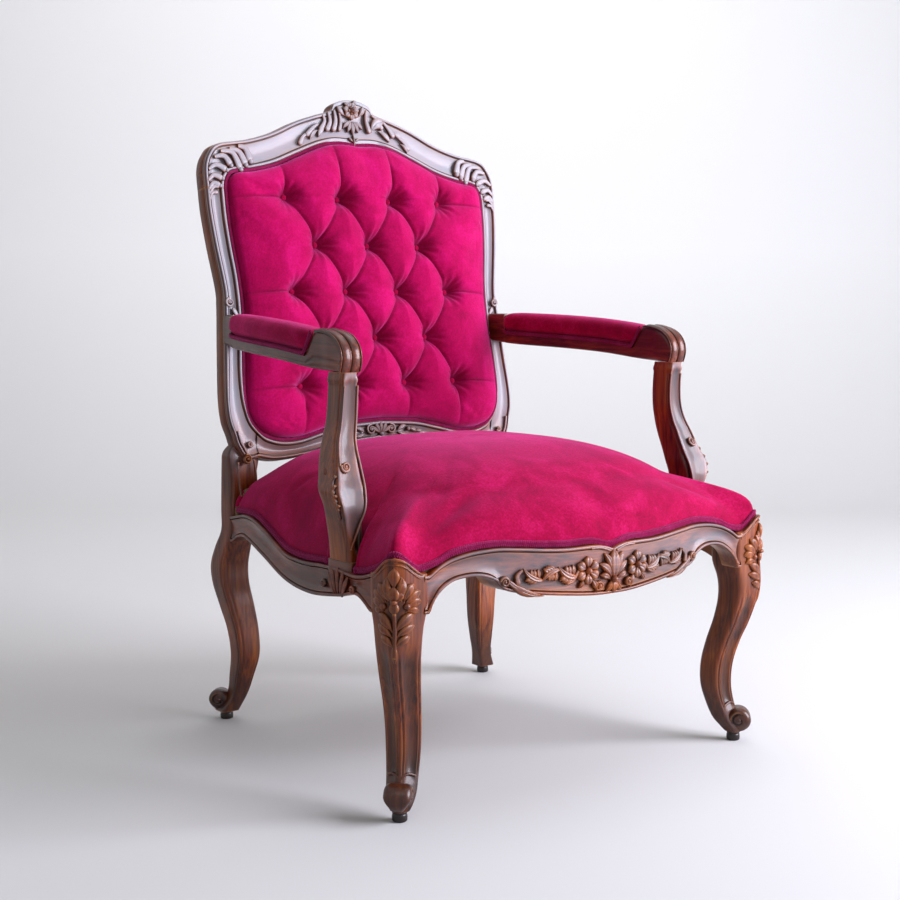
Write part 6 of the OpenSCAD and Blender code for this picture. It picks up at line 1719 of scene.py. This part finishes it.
def backPadShape():
    u, v, x, s = openingGrid(backLook["simCols"], backLook["simRows"], backLook["gap"])
    crown = np.sqrt((1 - np.abs(u) ** 7) * (1 - np.abs(2 * v - 1) ** 8))
    n = backLook["edge"] + chair["backCrown"] * crown
    flat = np.stack(np.broadcast_arrays(x, -s, n), axis=-1).reshape(-1, 3)
    border = np.zeros((backLook["simRows"], backLook["simCols"]))
    border[[0, -1], :] = 1
    border[:, [0, -1]] = 1
    quads = gridQuads(backLook["simRows"], backLook["simCols"])[:, ::-1]
    blown = settle(flat, quads, np.zeros((0, 3), int), border.ravel(), backLook["pressure"], backLook["cap"])
    lift = (blown[:, 2] - flat[:, 2]).reshape(backLook["simRows"], backLook["simCols"])
    u, v, x, s = openingGrid(backLook["cols"], backLook["rows"], backLook["gap"])
    rowsAt = np.linspace(0, backLook["simRows"] - 1, backLook["rows"])
    colsAt = np.linspace(0, backLook["simCols"] - 1, backLook["cols"])
    wide = np.stack([np.interp(colsAt, np.arange(backLook["simCols"]), row) for row in lift])
    lift = np.stack([np.interp(rowsAt, np.arange(backLook["simRows"]), col) for col in wide.T], axis=1)
    crown = np.sqrt((1 - np.abs(u) ** 7) * (1 - np.abs(2 * v - 1) ** 8))
    full = chair["backCrown"] * crown + lift
    full = full * (1 + 0.03 * handmade(x, s, backLook["seed"], 40))
    fullness, depth = tuftFullness(x, s)
    n = backLook["edge"] + full * fullness
    front = onBack(x, s, n).reshape(-1, 3)
    rows = backLook["rows"]
    cols = backLook["cols"]
    index = np.arange(rows * cols).reshape(rows, cols)
    loop = np.concatenate([index[0, :-1], index[:-1, -1], index[-1, :0:-1], index[:0:-1, 0]])
    flatX = np.broadcast_to(x, (rows, cols)).ravel()[loop]
    behind = onBack(flatX, s.ravel()[loop], np.full(len(loop), backLook["back"]))
    middle = onBack(np.array([0.0]), np.array([tuftMid]), np.array([backLook["back"]]))
    count = rows * cols
    k = np.arange(len(loop))
    after = (k + 1) % len(loop)
    wall = np.stack([loop, loop[after], count + after, count + k], axis=1)
    fan = np.stack([count + k, count + after, np.full(len(loop), count + len(loop))], axis=1)
    # painted shade in the folds and button dimples
    dirt = np.concatenate([np.clip(depth, 0, 1).ravel(), np.zeros(len(loop) + 1)])
    quads = np.vstack([gridQuads(rows, cols)[:, ::-1], wall[:, ::-1]])
    return outward(shapeOf(np.vstack([front, behind, middle]), quads, fan[:, ::-1], dirt))


backPad = addPiece("backPad", backPadShape(), velvet, "back_pad", 75.0)

# Covered buttons: a dome with a drawn-in rim
buttonProfile = curve([[0.4, 3.8], [2.0, 3.5], [3.8, 2.6], [4.9, 1.4], [5.2, 0.4], [4.4, -0.6], [2.6, -1.2]],
                      4)
buttonTurn = circleSteps(28)
buttonBase = backLook["edge"] + chair["backCrown"] * 0.08 + 0.6
buttonParts = []
for tx, ts in tufts:
    buttonX = tx + buttonProfile[:, :1] * np.cos(buttonTurn)
    buttonS = ts + buttonProfile[:, :1] * np.sin(buttonTurn)
    buttonParts.append(loft(onBack(buttonX, buttonS, buttonBase + buttonProfile[:, 1:])))
addPiece("backButtons", joined(buttonParts), velvetPaintedDarker, "back_buttons", 70.0)


# A closed path round the opening, a distance outside it
def aroundOpening(outside, count):
    right = np.vstack([onFrame("lowerTop")[::-1], onFrame("stileIn")[1:], onFrame("crestIn")[1:]])
    whole = np.vstack([right, (right * [-1, 1])[::-1][1:-1]])
    whole = resample(np.vstack([whole, whole[:1]]), count + 1)[:-1]
    d = np.roll(whole, -2, axis=0) - np.roll(whole, 2, axis=0)
    n = unit(np.stack([d[:, 1], -d[:, 0]], axis=1))
    return whole + n * outside, n


def backGimp(outside, height, width, facing):
    path, n = aroundOpening(outside, 640)
    at = onBack(path[:, 0], path[:, 1], np.full(len(path), height))
    side = onBack(path[:, 0] + n[:, 0], path[:, 1] + n[:, 1], np.full(len(path), height)) - at
    up = onBack(path[:, 0], path[:, 1], np.full(len(path), height + facing)) - at
    return gimp(at, side, up, width)


addPiece("backGimp", backGimp(2.6, 0.1, 5.6, 1), braid, "back_gimp", 60.0)
addPiece("outsideBackGimp", backGimp(5.0, -33.4, 8.0, -1), braid, "outside_back_gimp", 60.0)

# Outside back cover: velvet stretched over the opening, bellied out a little
outsideLook = {"cols": 90, "rows": 110, "thick": 1.3, "belly": 1.4, "from": -33.5, "over": 3.0,
               "uneven": 0.25, "seed": 3}
u, v, coverX, coverS = openingGrid(outsideLook["cols"], outsideLook["rows"], -outsideLook["over"])
belly = outsideLook["belly"] * np.sqrt((1 - u**2) * (1 - (2 * v - 1) ** 2))
belly = belly + outsideLook["uneven"] * handmade(coverX, coverS, outsideLook["seed"], 60)
innerSheet = onBack(coverX, coverS, outsideLook["from"] - belly * 0.8).reshape(-1, 3)
outerSheet = onBack(coverX, coverS, outsideLook["from"] - outsideLook["thick"] - belly * 0.8).reshape(-1, 3)
coverIndex = np.arange(len(innerSheet)).reshape(outsideLook["rows"], outsideLook["cols"])
coverLoop = np.concatenate([coverIndex[0, :-1], coverIndex[:-1, -1], coverIndex[-1, :0:-1],
                            coverIndex[:0:-1, 0]])
coverAfter = np.roll(coverLoop, -1)
sheetQuads = gridQuads(outsideLook["rows"], outsideLook["cols"])
half = len(innerSheet)
sheetRim = np.stack([coverLoop, coverAfter, half + coverAfter, half + coverLoop], axis=1)
outsideShape = outward(shapeOf(np.vstack([innerSheet, outerSheet]),
                               np.vstack([sheetQuads[:, ::-1], sheetQuads + half, sheetRim])))
outsideCover = addPiece("outsideBackCover", outsideShape, velvet, "outside_back_cover", 60.0)
print("stage: back made")

# Hidden pieces keep their CAD shape and get their finish
cadFinish = {
    "corner_blocks": beech, "crest_dowels": beech, "corner_block_screws": steel, "post_screws": steel,
    "arm_screws": steel, "webbing_tacks": steel, "seat_springs": steel, "arm_screw_plugs": walnutDeep,
    "seat_webbing": webbing, "back_webbing": webbing, "back_hessian": hessian,
}
for nodeTitle, finish in cadFinish.items():
    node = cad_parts[nodeTitle]
    node.data.materials.clear()
    node.data.materials.append(finish)

# Floor and backdrop: one sheet that curves up behind, and a soft room of light
stageLook = {"floor": "#D6D6D6", "wall": "#EAEAEA", "room": "#F6F6F8", "roomStrength": 0.25, "roomSeen": 0.82,
             "near": -4.0, "bend": 2.6, "radius": 1.2, "top": 4.5, "turn": 36.25}
bendTurn = np.linspace(0.1, math.pi / 2, 16)
profileY = np.concatenate([np.linspace(stageLook["near"], stageLook["bend"], 30),
                           stageLook["bend"] + stageLook["radius"] * np.sin(bendTurn),
                           np.full(8, stageLook["bend"] + stageLook["radius"])])
profileZ = np.concatenate([np.zeros(30), stageLook["radius"] - stageLook["radius"] * np.cos(bendTurn),
                           np.linspace(1.6, stageLook["top"], 8)])
spread = np.linspace(-5, 5, 12)
turnBack = math.radians(stageLook["turn"])
sweepX = spread[None, :] * math.cos(turnBack) + profileY[:, None] * math.sin(turnBack)
sweepY = -spread[None, :] * math.sin(turnBack) + profileY[:, None] * math.cos(turnBack)
sweepZ = np.broadcast_to(profileZ[:, None], sweepX.shape) - 0.0002
backdropMesh = bpy.data.meshes.new("backdrop")
backdropMesh.from_pydata(np.stack([sweepX, sweepY, sweepZ], axis=2).reshape(-1, 3).tolist(), [],
                         gridQuads(len(profileY), len(spread)).tolist())
backdropMesh.update()
backdropMesh.polygons.foreach_set("use_smooth", np.ones(len(backdropMesh.polygons), bool))
backdropMaterial, backdropTree = newMaterial("backdropPaperMatt")
backdropWhere = addNode(backdropTree, "TexCoord")
backdropPlace = addNode(backdropTree, "SeparateXYZ", None, {"Vector": (backdropWhere, "Object")})
# painted shade and light: the one paper sheet is painted darker on the floor and paler up the wall
backdropColour = ramp(backdropTree, backdropPlace, "Z", [(0.0, stageLook["floor"]), (0.9, stageLook["wall"])])
backdropShader = addNode(backdropTree, "BsdfPrincipled", {"Roughness": 0.9, "Specular IOR Level": 0.1},
                         {"Base Color": (backdropColour, "Color")})
addNode(backdropTree, "OutputMaterial", None, {"Surface": (backdropShader, "BSDF")})
backdropMesh.materials.append(backdropMaterial)
backdrop = bpy.data.objects.new("backdrop", backdropMesh)
bpy.context.scene.collection.objects.link(backdrop)

world = bpy.data.worlds.new("studio")
world.use_nodes = True
world.node_tree.nodes.clear()
rays = addNode(world.node_tree, "LightPath")
eyeOrGloss = addNode(world.node_tree, "Math", None, {0: (rays, "Is Camera Ray"), 1: (rays, "Is Glossy Ray")},
                   operation="MAXIMUM")
seen = addNode(world.node_tree, "MapRange",
               {"To Min": stageLook["roomStrength"], "To Max": stageLook["roomSeen"]},
               {"Value": (eyeOrGloss, "Value")})
room = addNode(world.node_tree, "Background", {"Color": linear(stageLook["room"])},
               {"Strength": (seen, "Result")})
addNode(world.node_tree, "OutputWorld", None, {"Surface": (room, "Background")})
bpy.context.scene.world = world


def softBox(name, place, target, size, power, colour):
    data = bpy.data.lights.new(name, "AREA")
    data.shape = "RECTANGLE"
    data.size, data.size_y = size
    data.energy = power
    data.color = linear(colour)[:3]
    lamp = bpy.data.objects.new(name, data)
    lamp.location = place
    aim = np.array(target, float) - np.array(place, float)
    lamp.rotation_euler = (math.atan2(math.hypot(aim[0], aim[1]), -aim[2]), 0,
                           math.atan2(aim[0], -aim[1]) + math.pi)
    bpy.context.scene.collection.objects.link(lamp)


softBox("keyBox", (-1.9, -1.9, 2.9), (0, 0, 0.5), (1.6, 1.6), 9, "#FFFFFF")
softBox("frontBox", (1.9, -2.3, 1.45), (0, 0.1, 0.7), (2.2, 1.9), 205, "#F2F1FF")
softBox("topBox", (0.7, 0.0, 3.4), (0.1, 0, 0.4), (2.2, 2.2), 26, "#FFFFFF")
softBox("wallBox", (0.7, 1.4, 3.3), (2.2, 3.6, 1.2), (2.6, 1.6), 45, "#FFFFFF")

# Camera at the photograph's angle: its focal length is given in pixels of a 900 pixel picture
cameraLook = {"place": (-1.412, -1.8892, 0.684), "down": 5.57, "turn": 36.25, "focal": 1505, "pixels": 900,
              "film": 36.0}
cameraData = bpy.data.cameras.new("photoCamera")
cameraData.sensor_width = cameraLook["film"]
cameraData.lens = cameraLook["focal"] / cameraLook["pixels"] * cameraLook["film"]
camera = bpy.data.objects.new("photoCamera", cameraData)
camera.location = cameraLook["place"]
camera.rotation_euler = (math.radians(90 - cameraLook["down"]), 0, math.radians(-cameraLook["turn"]))
bpy.context.scene.collection.objects.link(camera)
bpy.context.scene.camera = camera
bpy.context.scene.view_settings.view_transform = "Standard"

print("stage: finished")
